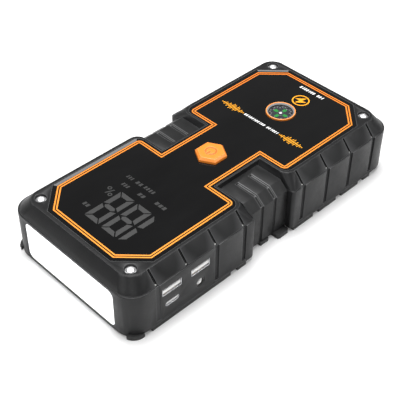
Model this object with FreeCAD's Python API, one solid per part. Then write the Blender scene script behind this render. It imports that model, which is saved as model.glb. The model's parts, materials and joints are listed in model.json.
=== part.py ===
import FreeCAD, Part
import math
import os

# Jump starter pack. X runs along the pack, with the lamp at -X and the clamp-lead socket at +X. Y runs
# across it, with the charging sockets at -Y. Z is up, and the two rubber skids stand on Z = 0. Millimetres.

# Overall
LENGTH = 192.8
WIDTH = 92.4
HEIGHT = 34.0
FOOT_GAP = 0.5          # daylight under the housing, given by the skids
CORNER_R = 11.0         # plan radius of the housing's corners

# Walls and running clearances
WALL = 2.4
FLOOR = 3.0
DECK = 2.0              # cover's deck under the glass
FIT = 0.15              # between pieces that are glued, screwed or slid together
RUN = 0.3               # around pieces that move
EASE = 0.4              # small edge rounding
OVER = 1.0              # cutters run this far past what they cut
LAP = 0.5               # posts and rails start this far inside the floor or the deck
NIP = 0.2               # overlap of two forms that are joined into one
MIN_R = 0.5             # smallest plan radius that an inset outline keeps

# Cover: a bevelled frame around the glass
BEVEL_H = 6.8           # height of the cover above the joint line
LEDGE = 0.7             # step where the cover sits inside the housing's rim
BEZEL_IN_X = 5.8        # bezel edge, in from the housing's end
BEZEL_IN_Y = 6.75       # bezel edge, in from the housing's side
BEZEL_R = 8.0

# Waist: the narrowed middle, with a grip pad on each side
WAIST_HALF = 14.0       # half its length at the wall
WAIST_SET = 4.3         # how far its wall stands back
WAIST_SLOPE = 1.8       # how far the end blocks lean away from it
WAIST_CORNER_R = 2.0    # block corner at the joint line
WAIST_BEZEL_R = 6.0     # block corner at the bezel
HOLLOW_WAIST_R = (1.0, 3.0)     # block corner of the hollow, at the joint line and at the deck
BRIDGE_HALF = 20.2      # half width of the raised bridge
WAIST_DROP = 2.8        # grip's flat top, below the bezel
GRIP_FLAT_IN = 9.7      # grip's flat top ends this far in from the housing's side
GRIP_BEVEL_H = 4.6
GRIP_T = 1.5
GRIP_RIB_X = 4.8        # the two grooves of each grip, either side of its middle
GRIP_RIB_W = 2.0
GRIP_RIB_D = 0.9
GRIP_RIB_START = 3.4    # from the bridge to the start of a groove

# Grooves of the long sides
GROOVE_FIRST = 22.0
GROOVE_PITCH = 19.2
GROOVE_W = 2.8
GROOVE_D = 1.2
GROOVE_FOOT = 3.6       # grooves stop this far above the housing's underside
PANEL_GROOVE_D = 0.45   # depth of the groove that borders the sockets' panel on the lamp side
BEVEL_GROOVE_W = 1.3
BEVEL_GROOVE_D = 1.2

# Rubber skids: one along each side, with lugs that stand on the ground
SKID_W = 5.0            # in from the housing's side
SKID_H = 2.3
SKID_WEB = 2.0          # inner strip that joins the lugs
SKID_R = 7.0            # outside radius at the lamp corners
SKID_WAIST_ENDS = (5.9, 2.3)    # gaps from the waist to the lugs of the -X and the +X block
NOTCH_W = 4.8
NOTCH_SHIFT = 2.9       # notch, from midway between two grooves
WAIST_LUGS = ((-5.1, 1.2, 0.5), (5.2, 13.6, 3.6))   # start, end and how far each stands out
WAIST_LUG_R = 1.5

# Corner screws, their inserts and posts
SCREW_IN_X = 11.4
SCREW_IN_Y = 12.5
SCREW_R = 1.5
SCREW_HEAD_R = 2.7
SCREW_HEAD_H = 1.4
SCREW_SINK = 1.75
SCREW_LENGTH = 17.0
SCREW_KEY_R = 1.15
SCREW_KEY_FLOOR = 0.49  # floor of the hex socket, above the head's seat
SCREW_HEAD_ROUND = 0.84
THREAD_SLACK = 0.05     # shank to the bore of its insert
INSERT_R = 2.2
INSERT_L = 6.0
POST_R = 3.4

# Glass panel with its two printed border lines
GLASS_T = 1.2
GLASS_TAPE_T = 0.15
GLASS_SINK = 0.15       # glass top, below the bezel
GLASS_RIM_X = 2.3       # bezel width outside the glass at the ends
GLASS_RIM_Y = 2.0       # and at the sides
GLASS_CUT = 13.9        # corner cut of the glass
GLASS_WAIST_X = 17.3
GLASS_WAIST_RIM = 1.1   # bridge width outside the glass
GLASS_WAIST_R = 5.0
LINE_IN_X = 2.2         # outer border line, in from the glass edge at the ends and sides
LINE_IN_WAIST = 1.15    # and at the waist
LINE_W = 0.75
LINE_GAP = 0.65
LINE_T = 0.2
TAPE_W = 1.6

# Display behind the glass
DISPLAY_FROM_END = 36.4
DISPLAY_Y = -1.0
DISPLAY_L = 40.0
DISPLAY_W = 36.0
DISPLAY_GAP = 0.2       # to the underside of the glass

# Power button at the middle of the top
BUTTON_R = 8.7          # across the corners, halved
BUTTON_RISE = 2.2       # above the bezel
BUTTON_BEVEL = 1.3
BUTTON_TRAVEL = 0.8
BUTTON_FLANGE = 1.4     # flange beyond the cap, which the deck holds down
BUTTON_FLANGE_T = 1.1
SYMBOL_R = 3.3
SYMBOL_W = 0.9
SYMBOL_T = 0.25
SPRING_IN = 0.2         # silicone sleeve, inside the cap's corner radius
SPRING_W = 1.6
SWITCH_W = 6.0
SWITCH_H = 1.6
PLUNGER_R = 1.7
SWITCH_GAP = 0.1        # button's flange to the plunger at full travel

# Main board hangs below the deck on posts
BOARD_DROP = 4.3        # deck's underside to the board's top
BOARD_T = 1.6
BOARD_IN_Y = 19.2       # board's edge, in from the housing's side
BOARD_END_X = 14.0
BOARD_START_GAP = 1.5   # from the corner posts to the board
BOARD_POST_R = 2.6
BOARD_POST_IN = 5.0     # middle of a post, in from the board's edge
BOARD_POST_GAP = 1.0    # from a post to the board's end or to the battery
BOARD_SCREW_R = 1.0
BOARD_SCREW_HEAD_R = 1.9
BOARD_SCREW_HEAD_H = 1.0
BOARD_SCREW_L = 7.0
PILOT_SLACK = 0.02      # board screw to its pilot hole
COIL_W = 8.0
COIL_H = 3.2
SWITCH_COUNT = 4
POWER_SWITCH_L = 5.0
POWER_SWITCH_H = 1.2
POWER_SWITCH_FILL = 0.8 # share of its pitch that a power switch takes
PART_GAP = 1.0          # between neighbours on the board
CAPACITOR_R = 2.5
CAPACITOR_X = 14.0      # from the first coil's end face

# Compass
COMPASS_FROM_END = 42.0
COMPASS_R = 8.6         # ring's outside
COMPASS_RING_W = 1.1
COMPASS_RING_RISE = 0.7 # above the glass
COMPASS_RING_EASE = 0.44
COMPASS_LENS_SINK = 0.3 # lens, below the ring's top
COMPASS_LENS_SLACK = 0.02
COMPASS_CUP_R = 8.0
COMPASS_CUP_T = 0.8
COMPASS_DEPTH = 4.6     # cup below the glass top
COMPASS_LENS_T = 0.8
COMPASS_CARD_T = 0.5
COMPASS_CARD_GAP = 0.9  # card's top below the lens
MAGNET_L = 9.0
MAGNET_W = 1.6
MAGNET_T = 0.7
CARD_HUB_R = 1.4
CARD_HUB_RISE = 0.45
CARD_HUB_ROOF = 0.05    # pivot's bore ends this far below the card's face
PIVOT_R = 0.35
PIVOT_SLACK = 0.05
PIVOT_GAP = 0.1         # pivot's tip, below the card's face
PIVOT_TIP_R = 0.07

# Lamp in the -X end
LAMP_IN_Y = 12.7        # window's side, in from the housing's side
LAMP_R = 3.5
LAMP_LIP = 1.4          # housing wall under the window
LAMP_HEAD = 1.6         # housing wall above it
LAMP_SINK = 0.25
LAMP_FLANGE = 1.4
LAMP_FLANGE_T = 0.8
LAMP_TRAY_T = 0.8
LAMP_TRAY_D = 4.0
LAMP_BOARD_T = 1.0
LAMP_BOARD_IN = 1.0     # board's edges, in from the tray's
LED_W = 3.0
LED_H = 0.8
LED_COLUMNS = 6
LED_ROWS = 2

# Sockets in the -Y side, measured from the -X end and from the resting plane
USB_A_FROM_END = (25.65, 44.2)
USB_A_Z = 20.5
USB_A_W = 12.4
USB_A_H = 4.6
USB_A_T = 0.3
USB_A_DEPTH = 13.8
USB_A_CORNERS = (0.5, 0.2)      # outer and inner corner radius of the shell
TONGUE_T = 1.4
TONGUE_SIDE = 0.4       # tongue to the shell's sides
TONGUE_HEAD = 0.5       # and to its roof
TONGUE_BACK = 1.2       # tongue, behind the mouth
USB_C_FROM_END = 25.65
USB_C_Z = 11.6
USB_C_W = 8.9
USB_C_H = 3.2
USB_C_DEPTH = 7.4
ROUND_SHORT = 0.03      # a round-ended slot's radius, short of half its height
USB_C_TONGUE_T = 0.7
USB_C_TONGUE_IN = (1.3, 0.8)    # tongue, in from the slot's ends and behind its mouth
USB_C_FOOT = (3.0, 1.0)         # half width and half height of the shell's foot
DC_FROM_END = 44.0
DC_Z = 10.6
DC_R = 2.75
DC_BODY_W = 9.0
DC_PIN_R = 0.8
DC_NOSE_T = 0.5
DC_BORE_END = 2.0       # bore and pin end this far before the board
PORT_BOARD_T = 1.6
PORT_BOARD_MARGIN = 3.6
PORT_BOARD_ABOVE = 1.0  # board, above the USB-A shells
RAIL_T = 1.4
RAIL_HALF_L = 1.2
RAIL_DROP = 4.0         # rails end this far below the board's top
PANEL_FROM_END = (17.0, 54.4)   # ungrooved flat around the sockets
SOCKET_SINK = 0.25

# Clamp-lead socket and its flap in the +X end
FLAP_HALF_W = 13.4
FLAP_HALF_H = 8.8
FLAP_Z = 14.5
FLAP_T = 2.0
FLAP_SINK = 0.2
FLAP_R = 1.5
FLAP_EDGE_SLACK = 0.1   # more room on the hinge's side of the flap's opening
FLAP_PIN_R = 0.5
PIN_RUN = 0.05
EAR_H = 2.6
FLANGE_OVER = 3.0
FLANGE_T = 2.0
CLAMP_BODY_HALF_W = 11.0
CLAMP_BODY_HALF_H = 6.5
CLAMP_BODY_L = 18.0
CLAMP_POLE_Y = 5.2
SLEEVE_R = 3.0          # bore of a contact sleeve
SLEEVE_T = 0.6
SLEEVE_L = 12.0
SLEEVE_SINK = 2.5
NAIL_R = 4.0            # fingernail scoop beside the flap

# Battery: pouch cells stacked flat on foam
CELL_COUNT = 3
CELL_SIDE_GAP = 6.0     # from the waist's inner wall to the cells
CELL_R = 2.0
PAD_T = 0.8
PAD_IN = 3.0            # pads, in from the cells' edges
CELL_GAP = 0.5
BATTERY_TOP_GAP = 1.5
BATTERY_END_GAP = 3.0
BATTERY_PANEL_GAP = 9.0 # from the sockets' panel to the cells
TAB_T = 0.8
TAB_W = 8.0
TAB_Y = 12.0
BAR_T = 1.2
BAR_W = 6.0
BAR_NARROW = 0.8        # upright part of a bar, narrower by this on each side
TERMINAL_IN = 1.0       # tabs and bars, in from the stack's top and bottom

# Seal
SEAL_W = 0.8
SEAL_H = 0.8

# Levels and places that follow from the sizes above
HALF_L = LENGTH / 2
HALF_W = WIDTH / 2
JOINT_Z = HEIGHT - BEVEL_H
FLOOR_TOP = FOOT_GAP + FLOOR
GLASS_TOP = HEIGHT - GLASS_SINK
GLASS_LOW = GLASS_TOP - GLASS_T
DECK_TOP = GLASS_LOW - GLASS_TAPE_T
DECK_LOW = DECK_TOP - DECK
BOARD_TOP = DECK_LOW - BOARD_DROP
BOARD_LOW = BOARD_TOP - BOARD_T
WAIST_TOP = HEIGHT - WAIST_DROP
BEZEL_X = HALF_L - BEZEL_IN_X
BEZEL_Y = HALF_W - BEZEL_IN_Y
SCREW_X = HALF_L - SCREW_IN_X
SCREW_Y = HALF_W - SCREW_IN_Y
INNER_X = HALF_L - WALL
INNER_Y = HALF_W - WALL
LAMP_HALF_W = HALF_W - LAMP_IN_Y
BOARD_HALF_W = HALF_W - BOARD_IN_Y
BOARD_POST_Y = BOARD_HALF_W - BOARD_POST_IN
CELL_W = 2 * (INNER_Y - WAIST_SET - GRIP_T - CELL_SIDE_GAP)
SIDES = (-1, 1)


def vec(x, y, z):
    """A point or direction."""
    return FreeCAD.Vector(x, y, z)


def box(x0, x1, y0, y1, z0, z1):
    """A box between two corners."""
    return Part.makeBox(x1 - x0, y1 - y0, z1 - z0, vec(x0, y0, z0))


def upright(radius, x, y, z0, z1):
    """A round bar that stands along Z."""
    return Part.makeCylinder(radius, z1 - z0, vec(x, y, z0))


def lying(radius, start, direction, length):
    """A round bar from a start point along a direction."""
    return Part.makeCylinder(radius, length, start, direction)


def join(shapes):
    """One solid from overlapping shapes, with its split faces merged."""
    whole = shapes[0].fuse(list(shapes[1:])) if len(shapes) > 1 else shapes[0]
    return whole.removeSplitter()


def group(shapes):
    """Separate solids kept in one compound."""
    return Part.makeCompound(list(shapes))


def rounded_wire(corners, place):
    """A closed wire through (u, v, radius) corners; place turns (u, v) into a point."""
    edges = []
    joints = []
    count = len(corners)
    for index in range(count):
        before = corners[index - 1]
        here = corners[index]
        after = corners[(index + 1) % count]
        joints.append(corner_points(before, here, after))
    for index in range(count):
        start, middle, end = joints[index]
        if middle is not None:
            edges.append(Part.Arc(place(*start), place(*middle), place(*end)).toShape())
        following = joints[(index + 1) % count][0]
        if math.dist(end, following) > 1e-6:
            edges.append(Part.makeLine(place(*end), place(*following)))
    return Part.Wire(edges)


def corner_points(before, here, after):
    """Start, middle and end of the arc that rounds one corner; no middle for a sharp one."""
    u, v, radius = here
    if radius <= 0:
        return (u, v), None, (u, v)
    back = unit(before[0] - u, before[1] - v)
    ahead = unit(after[0] - u, after[1] - v)
    half = math.acos(max(-1.0, min(1.0, back[0] * ahead[0] + back[1] * ahead[1]))) / 2
    reach = radius / math.tan(half)
    bisector = unit(back[0] + ahead[0], back[1] + ahead[1])
    depth = radius / math.sin(half) - radius
    start = (u + back[0] * reach, v + back[1] * reach)
    middle = (u + bisector[0] * depth, v + bisector[1] * depth)
    end = (u + ahead[0] * reach, v + ahead[1] * reach)
    return start, middle, end


def unit(u, v):
    """A direction of length one."""
    size = math.hypot(u, v)
    return u / size, v / size


def plan_prism(corners, z0, z1):
    """A plan outline raised from z0 to z1."""
    wire = rounded_wire(corners, lambda x, y: vec(x, y, z0))
    return Part.Face(wire).extrude(vec(0, 0, z1 - z0))


def plan_loft(low_corners, z0, high_corners, z1):
    """A straight-sided loft between two plan outlines with matching corners."""
    low = rounded_wire(low_corners, lambda x, y: vec(x, y, z0))
    high = rounded_wire(high_corners, lambda x, y: vec(x, y, z1))
    return Part.makeLoft([low, high], True, True)


def end_prism(corners, x0, x1):
    """An outline in (y, z) carried from x0 to x1."""
    wire = rounded_wire(corners, lambda y, z: vec(x0, y, z))
    return Part.Face(wire).extrude(vec(x1 - x0, 0, 0))


def side_prism(corners, y0, y1):
    """An outline in (x, z) carried from y0 to y1."""
    wire = rounded_wire(corners, lambda x, z: vec(x, y0, z))
    return Part.Face(wire).extrude(vec(0, y1 - y0, 0))


def rectangle(u0, u1, v0, v1, radius=0.0):
    """The four corners of a rectangle, counter-clockwise."""
    return [(u0, v0, radius), (u1, v0, radius), (u1, v1, radius), (u0, v1, radius)]


def hexagon(radius):
    """A hexagon about the origin, with corners on the X axis."""
    turns = [math.radians(60 * step) for step in range(6)]
    return [(radius * math.cos(turn), radius * math.sin(turn), 0.0) for turn in turns]


# ---------------------------------------------------------------- casing

def housing_corners(inset, setback):
    """The housing's plan outline, inset from its outside; setback is the waist's depth."""
    end = HALF_L - inset
    side = HALF_W - inset
    waist = WAIST_HALF + inset
    hollow = HALF_W - setback - inset
    outer_r = CORNER_R - inset
    block_r = max(WAIST_CORNER_R - inset, 0.3)
    quarter = [(end, side, outer_r), (waist, side, block_r), (waist, hollow, 0.0)]
    upper = quarter + [(-x, y, r) for x, y, r in reversed(quarter)]
    return upper + [(-x, -y, r) for x, y, r in upper]


def block_corners(side, near, far, half, near_r, far_r):
    """An end block's plan outline: near is its waist end and far its outer end."""
    corners = [(near, -half, near_r), (far, -half, far_r), (far, half, far_r), (near, half, near_r)]
    if side > 0:
        return corners
    return [(-x, y, r) for x, y, r in reversed(corners)]


def grip_outline(offset):
    """The waist's (y, z) line for the +Y side, offset inwards: flat top, bevel, wall."""
    flat_end = HALF_W - GRIP_FLAT_IN
    wall = HALF_W - WAIST_SET
    slope = math.atan2(GRIP_BEVEL_H, wall - flat_end)
    flat_shift = offset * math.tan(slope / 2)
    wall_shift = offset * math.tan((math.pi / 2 - slope) / 2)
    top = WAIST_TOP - offset
    return [(BRIDGE_HALF, top), (flat_end - flat_shift, top),
            (wall - offset, WAIST_TOP - GRIP_BEVEL_H - wall_shift), (wall - offset, SKID_H + FIT)]


def grip_seat(side):
    """The space over one waist that the grip pad fills and the casing leaves free."""
    line = grip_outline(GRIP_T)
    far = HALF_W + OVER
    high = HEIGHT + OVER
    points = line[:-1] + [(line[-1][0], 0.0), (far, 0.0), (far, high), (BRIDGE_HALF, high)]
    corners = [(side * y, z, 0.0) for y, z in points]
    return end_prism(corners, -WAIST_HALF, WAIST_HALF)


def groove_places():
    """X of the side grooves on both end blocks."""
    limit = HALF_L - CORNER_R
    steps = int((limit - GROOVE_FIRST) // GROOVE_PITCH) + 1
    right = [GROOVE_FIRST + GROOVE_PITCH * step for step in range(steps)]
    return [-x for x in reversed(right)] + right


def in_port_panel(x, side):
    """Whether a place on the long side lies in the flat around the sockets."""
    start = -HALF_L + PANEL_FROM_END[0]
    end = -HALF_L + PANEL_FROM_END[1]
    return side < 0 and start + GROOVE_W < x < end - GROOVE_W


def wall_groove(x, side):
    """Cutter for one upright groove in the housing's wall."""
    borders_panel = side < 0 and x < -HALF_L + PANEL_FROM_END[0] + GROOVE_W
    y0 = side * (HALF_W - (PANEL_GROOVE_D if borders_panel else GROOVE_D))
    y1 = side * (HALF_W + OVER)
    return box(x - GROOVE_W / 2, x + GROOVE_W / 2, min(y0, y1), max(y0, y1),
               FOOT_GAP + GROOVE_FOOT, JOINT_Z + OVER)


def bevel_groove(x, side):
    """Cutter for one groove down the cover's bevel."""
    foot = (HALF_W - LEDGE, JOINT_Z)
    head = (BEZEL_Y, HEIGHT)
    along = unit(head[0] - foot[0], head[1] - foot[1])
    out = (along[1], -along[0])
    below = -2 * OVER
    points = [shift(foot, along, out, below, -BEVEL_GROOVE_D), shift(foot, along, out, below, 2 * OVER),
              shift(head, along, out, 0.0, 2 * OVER), shift(head, along, out, 0.0, -BEVEL_GROOVE_D)]
    corners = [(side * y, z, 0.0) for y, z in points]
    return end_prism(corners, x - BEVEL_GROOVE_W / 2, x + BEVEL_GROOVE_W / 2)


def shift(point, along, out, ahead, outward):
    """A point moved along one direction and out along another."""
    return (point[0] + along[0] * ahead + out[0] * outward,
            point[1] + along[1] * ahead + out[1] * outward)


def notch_places(side):
    """X of the notches between a skid's lugs, clear of the port panel."""
    middles = [x + math.copysign(GROOVE_PITCH / 2, x) for x in groove_places()]
    return [x + NOTCH_SHIFT for x in middles if not in_port_panel(x, side)]


def skid_end():
    """X of a skid's +X end, at the last groove's outer edge."""
    return groove_places()[-1] + GROOVE_W / 2


def lug_spans(side):
    """Start and end along X of the lugs under the two blocks."""
    spans = []
    left_end = -WAIST_HALF - SKID_WAIST_ENDS[0]
    right_start = WAIST_HALF + SKID_WAIST_ENDS[1]
    for start, end in ((-HALF_L, left_end), (right_start, skid_end())):
        for x in [place for place in notch_places(side) if start < place < end]:
            spans.append((start, x - NOTCH_W / 2))
            start = x + NOTCH_W / 2
        spans.append((start, end))
    return spans


def skid_recess(side, slack):
    """The room along one side's lower edge that the skid sits in, less a slack at its inner face."""
    block_in = HALF_W - SKID_W + slack
    waist_in = block_in - WAIST_SET
    reach = WAIST_HALF + SKID_W - slack
    out = HALF_W + OVER
    end = HALF_L + OVER
    points = [(-end, block_in), (-reach, block_in), (-reach, waist_in), (reach, waist_in),
              (reach, block_in), (end, block_in), (end, out), (-end, out)]
    return plan_prism([(x, side * y, 0.0) for x, y in points], -OVER, SKID_H)


def make_skid(side):
    """One rubber skid: lugs with notches between them, on one inner strip."""
    recess = skid_recess(side, FIT)
    bars = []
    for start, end in lug_spans(side):
        corner_r = SKID_R if start <= -HALF_L else 0.0
        outline = rectangle(start, end, HALF_W - 2 * SKID_W, HALF_W)
        outline[-1] = (start, HALF_W, corner_r)
        bars.append(plan_prism([(x, side * y, r) for x, y, r in outline], 0.0, SKID_H))
    waist_face = HALF_W - WAIST_SET
    for start, end, proud in WAIST_LUGS:
        outline = rectangle(start, end, waist_face - SKID_W, waist_face + proud,
                            min(proud, WAIST_LUG_R))
        bars.append(plan_prism([(x, side * y, r) for x, y, r in outline], 0.0, SKID_H))
    web = skid_recess(side, FIT).cut(skid_recess(side, FIT + SKID_WEB))
    window = box(-HALF_L + OVER, skid_end(), -HALF_W, HALF_W, FOOT_GAP, SKID_H)
    return join([join(bars).common(recess), web.common(window)])


def screw_places():
    """Plan places of the four corner screws."""
    return [(sx * SCREW_X, sy * SCREW_Y) for sx in SIDES for sy in SIDES]


def board_post_places():
    """Plan places of the main board's four posts."""
    near = board_start() + BOARD_POST_R + BOARD_POST_GAP
    far = battery_start() - BOARD_POST_R - BOARD_POST_GAP
    return [(x, side * BOARD_POST_Y) for x in (near, far) for side in SIDES]


def board_start():
    """The main board's -X end, clear of the corner posts."""
    return -SCREW_X + POST_R + BOARD_START_GAP


def display_x():
    """Middle of the display along the pack."""
    return -HALF_L + DISPLAY_FROM_END


def battery_start():
    """The battery's -X end, behind the sockets' panel."""
    return -HALF_L + PANEL_FROM_END[1] + BATTERY_PANEL_GAP


def lamp_window(grow, x0, x1):
    """The lamp's rounded window, grown all round, from x0 to x1."""
    low = FOOT_GAP + LAMP_LIP
    high = JOINT_Z - LAMP_HEAD
    corners = rectangle(-LAMP_HALF_W - grow, LAMP_HALF_W + grow, low - grow, high + grow,
                        max(LAMP_R + grow, MIN_R))
    return end_prism(corners, x0, x1)


def flap_hinge():
    """X and Y of the flap's hinge pin."""
    return HALF_L - FLAP_SINK - FLAP_T / 2, FLAP_HALF_W - FLAP_T / 2 + RUN


def flap_hole():
    """Cutter for the opening in the +X wall, with its fingernail scoop."""
    hinge_y = flap_hinge()[1]
    corners = rectangle(-FLAP_HALF_W - RUN, hinge_y + FLAP_T / 2 + RUN + FLAP_EDGE_SLACK,
                        FLAP_Z - FLAP_HALF_H - RUN, FLAP_Z + FLAP_HALF_H + RUN, FLAP_R)
    hole = end_prism(corners, INNER_X - OVER, HALF_L + OVER)
    scoop = lying(NAIL_R, vec(HALF_L - WALL / 3, -FLAP_HALF_W, FLAP_Z), vec(1, 0, 0), WALL)
    return join([hole, scoop])


def usb_a_places():
    """Middles of the two USB-A sockets along the pack."""
    return [-HALF_L + distance for distance in USB_A_FROM_END]


def port_cutters():
    """Cutters for the socket holes in the -Y wall."""
    outside = -HALF_W - OVER
    inside = -INNER_Y + LAP
    cutters = []
    for x in usb_a_places():
        cutters.append(box(x - USB_A_W / 2 - FIT, x + USB_A_W / 2 + FIT, outside, inside,
                           USB_A_Z - USB_A_H / 2 - FIT, USB_A_Z + USB_A_H / 2 + FIT))
    x = -HALF_L + USB_C_FROM_END
    slot = rectangle(x - USB_C_W / 2 - FIT, x + USB_C_W / 2 + FIT,
                     USB_C_Z - USB_C_H / 2 - FIT, USB_C_Z + USB_C_H / 2 + FIT, USB_C_H / 2)
    cutters.append(side_prism(slot, outside, inside))
    cutters.append(lying(DC_R + FIT, vec(-HALF_L + DC_FROM_END, outside, DC_Z), vec(0, 1, 0),
                         inside - outside))
    return cutters


def port_board_span():
    """Low and high corners of the socket board in X and Z."""
    middles = usb_a_places()
    low_x = min(middles) - USB_A_W / 2 - PORT_BOARD_MARGIN
    high_x = max(middles) + USB_A_W / 2 + PORT_BOARD_MARGIN
    return low_x, high_x, FLOOR_TOP, USB_A_Z + USB_A_H / 2 + PORT_BOARD_ABOVE


def port_board_y():
    """The socket board's face that the sockets are soldered to."""
    return -HALF_W + SOCKET_SINK + USB_A_DEPTH


def port_rails():
    """Guide rails on the floor that hold the socket board's two ends."""
    low_x, high_x, low_z, high_z = port_board_span()
    front = port_board_y()
    back = front + PORT_BOARD_T
    rails = []
    for x in (low_x, high_x):
        for y0 in (front - RAIL_T - FIT, back + FIT):
            rails.append(box(x - RAIL_HALF_L, x + RAIL_HALF_L, y0, y0 + RAIL_T,
                             FLOOR_TOP - LAP, high_z - RAIL_DROP))
    return rails


def make_lower_housing():
    """The tray: outer wall, posts, rails, and every opening in it."""
    outer = plan_prism(housing_corners(0.0, WAIST_SET + GRIP_T), FOOT_GAP, JOINT_Z)
    outer = ease_rim(outer)
    inner = plan_prism(housing_corners(WALL, WAIST_SET + GRIP_T), FLOOR_TOP, JOINT_Z + OVER)
    tray = outer.cut(inner)
    posts = [upright(POST_R, x, y, FLOOR_TOP - LAP, JOINT_Z) for x, y in screw_places()]
    posts += [upright(BOARD_POST_R, x, y, FLOOR_TOP - LAP, BOARD_LOW) for x, y in board_post_places()]
    tray = join([tray] + posts + port_rails())
    return tray.cut(housing_cutters()).removeSplitter()


def ease_rim(outer):
    """Rounds the housing's outer bottom and rim edges."""
    levels = (FOOT_GAP, JOINT_Z)
    edges = [edge for edge in outer.Edges
             if abs(edge.BoundBox.ZMax - edge.BoundBox.ZMin) < 1e-6
             and min(abs(edge.BoundBox.ZMin - level) for level in levels) < 1e-6]
    return outer.makeFillet(min(EASE, WALL / 4), edges)


def housing_cutters():
    """Everything cut from the tray."""
    cutters = [grip_seat(side) for side in SIDES]
    for side in SIDES:
        cutters += [wall_groove(x, side) for x in groove_places() if not in_port_panel(x, side)]
        cutters.append(skid_recess(side, 0.0))
    cutters.append(lamp_window(0.0, -HALF_L - OVER, -INNER_X))
    cutters.append(flap_hole())
    cutters += port_cutters()
    for x, y in screw_places():
        cutters.append(upright(INSERT_R, x, y, JOINT_Z - INSERT_L, JOINT_Z + OVER))
        cutters.append(upright(SCREW_R + FIT, x, y, screw_seat() - SCREW_LENGTH - OVER, JOINT_Z))
    for x, y in board_post_places():
        cutters.append(upright(BOARD_SCREW_R, x, y, BOARD_TOP - BOARD_SCREW_L - LAP, BOARD_LOW + OVER))
    cutters.append(seal_ring(0.0))
    return cutters


def screw_seat():
    """Level of the underside of a corner screw's head."""
    return HEIGHT - SCREW_SINK


def seal_ring(slack):
    """A ring let into the inner edge of the housing's rim."""
    setback = WAIST_SET + GRIP_T
    outer = plan_prism(housing_corners(WALL - SEAL_W + slack, setback), JOINT_Z - SEAL_H, JOINT_Z)
    inner = plan_prism(housing_corners(WALL, setback), JOINT_Z - SEAL_H, JOINT_Z)
    return outer.cut(inner)


def cover_outside():
    """The cover's solid outer form: two bevelled blocks, the bridge and the waist cores, edges eased."""
    shapes = []
    for side in SIDES:
        low = block_corners(side, WAIST_HALF, HALF_L - LEDGE, HALF_W - LEDGE,
                            WAIST_CORNER_R, CORNER_R - LEDGE)
        high = block_corners(side, WAIST_HALF + WAIST_SLOPE, BEZEL_X, BEZEL_Y, WAIST_BEZEL_R, BEZEL_R)
        shapes.append(plan_loft(low, JOINT_Z, high, HEIGHT))
    reach = WAIST_HALF + WAIST_SLOPE + WALL
    shapes.append(box(-reach, reach, -BRIDGE_HALF, BRIDGE_HALF, JOINT_Z, HEIGHT))
    for side in SIDES:
        shapes.append(waist_core(side, WAIST_HALF + WAIST_SLOPE / 2))
    cover = join(shapes)
    return cover.makeFillet(EASE, [edge for edge in cover.Edges if edge.BoundBox.ZMin > HEIGHT - 1e-6])


def waist_core(side, reach):
    """The cover's own waist, under the grip pad."""
    line = grip_outline(GRIP_T)
    flat, bevel = line[1], line[2]
    slope = (bevel[1] - flat[1]) / (bevel[0] - flat[0])
    joint_y = flat[0] + (JOINT_Z - flat[1]) / slope
    start = BRIDGE_HALF - OVER
    points = [(start, JOINT_Z), (joint_y, JOINT_Z), flat, (start, flat[1])]
    return end_prism([(side * y, z, 0.0) for y, z in points], -reach, reach)


def cover_hollow():
    """The space inside the cover, below its deck."""
    lean_y = (BEZEL_IN_Y - LEDGE) * (DECK_LOW - JOINT_Z) / BEVEL_H
    lean_x = (BEZEL_IN_X - LEDGE) * (DECK_LOW - JOINT_Z) / BEVEL_H
    shapes = []
    for side in SIDES:
        near = WAIST_HALF + WALL
        low = block_corners(side, near, INNER_X, INNER_Y, HOLLOW_WAIST_R[0], CORNER_R - WALL)
        high = block_corners(side, near + WAIST_SLOPE, INNER_X - LEDGE - lean_x, INNER_Y - LEDGE - lean_y,
                             HOLLOW_WAIST_R[1], CORNER_R - WALL)
        shapes.append(plan_loft(low, JOINT_Z, high, DECK_LOW))
    reach = WAIST_HALF + WALL + WAIST_SLOPE + OVER
    shapes.append(box(-reach, reach, -BRIDGE_HALF + WALL, BRIDGE_HALF - WALL, JOINT_Z, DECK_LOW))
    return join(shapes)


def make_top_cover():
    """The bevelled upper shell with the glass recess and its openings."""
    cover = cover_outside().cut(cover_hollow())
    posts = [upright(POST_R, x, y, JOINT_Z, DECK_LOW + LAP) for x, y in screw_places()]
    cover = join([cover] + posts)
    below = DECK_LOW - OVER
    above = DECK_TOP + OVER
    cutters = [glass_prism(-FIT, DECK_TOP, HEIGHT + OVER), display_prism(FIT, below, above)]
    cutters.append(plan_prism(hexagon(BUTTON_R + RUN), below, above))
    cutters.append(upright(COMPASS_CUP_R + FIT, compass_x(), 0, below, above))
    for x, y in screw_places():
        cutters.append(upright(SCREW_R + 2 * FIT, x, y, JOINT_Z - OVER, HEIGHT + OVER))
        cutters.append(upright(SCREW_HEAD_R + 3 * FIT, x, y, screw_seat(), HEIGHT + OVER))
    for side in SIDES:
        cutters += [bevel_groove(x, side) for x in groove_places()]
    return cover.cut(cutters).removeSplitter()


def make_grip(side):
    """One grip pad: flat top, bevel and wall in one soft shell, with two grooves."""
    outer = grip_outline(0.0)
    inner = grip_outline(GRIP_T)
    gap = RUN / 2
    near = BRIDGE_HALF + gap
    points = [(near, outer[0][1]), outer[1], outer[2], outer[3]]
    points += [inner[3], inner[2], inner[1], (near, inner[0][1])]
    pad = end_prism([(side * y, z, 0.0) for y, z in points], -WAIST_HALF + gap, WAIST_HALF - gap)
    cut_line = grip_outline(GRIP_RIB_D)
    start = BRIDGE_HALF + GRIP_RIB_START
    points = [(start, HEIGHT)] + [(start, cut_line[1][1])] + cut_line[1:3]
    points += [(cut_line[3][0], 0.0), (HALF_W, 0.0), (HALF_W, HEIGHT)]
    corners = [(side * y, z, 0.0) for y, z in points]
    ribs = [end_prism(corners, x - GRIP_RIB_W / 2, x + GRIP_RIB_W / 2) for x in (-GRIP_RIB_X, GRIP_RIB_X)]
    return pad.cut(ribs)


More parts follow.
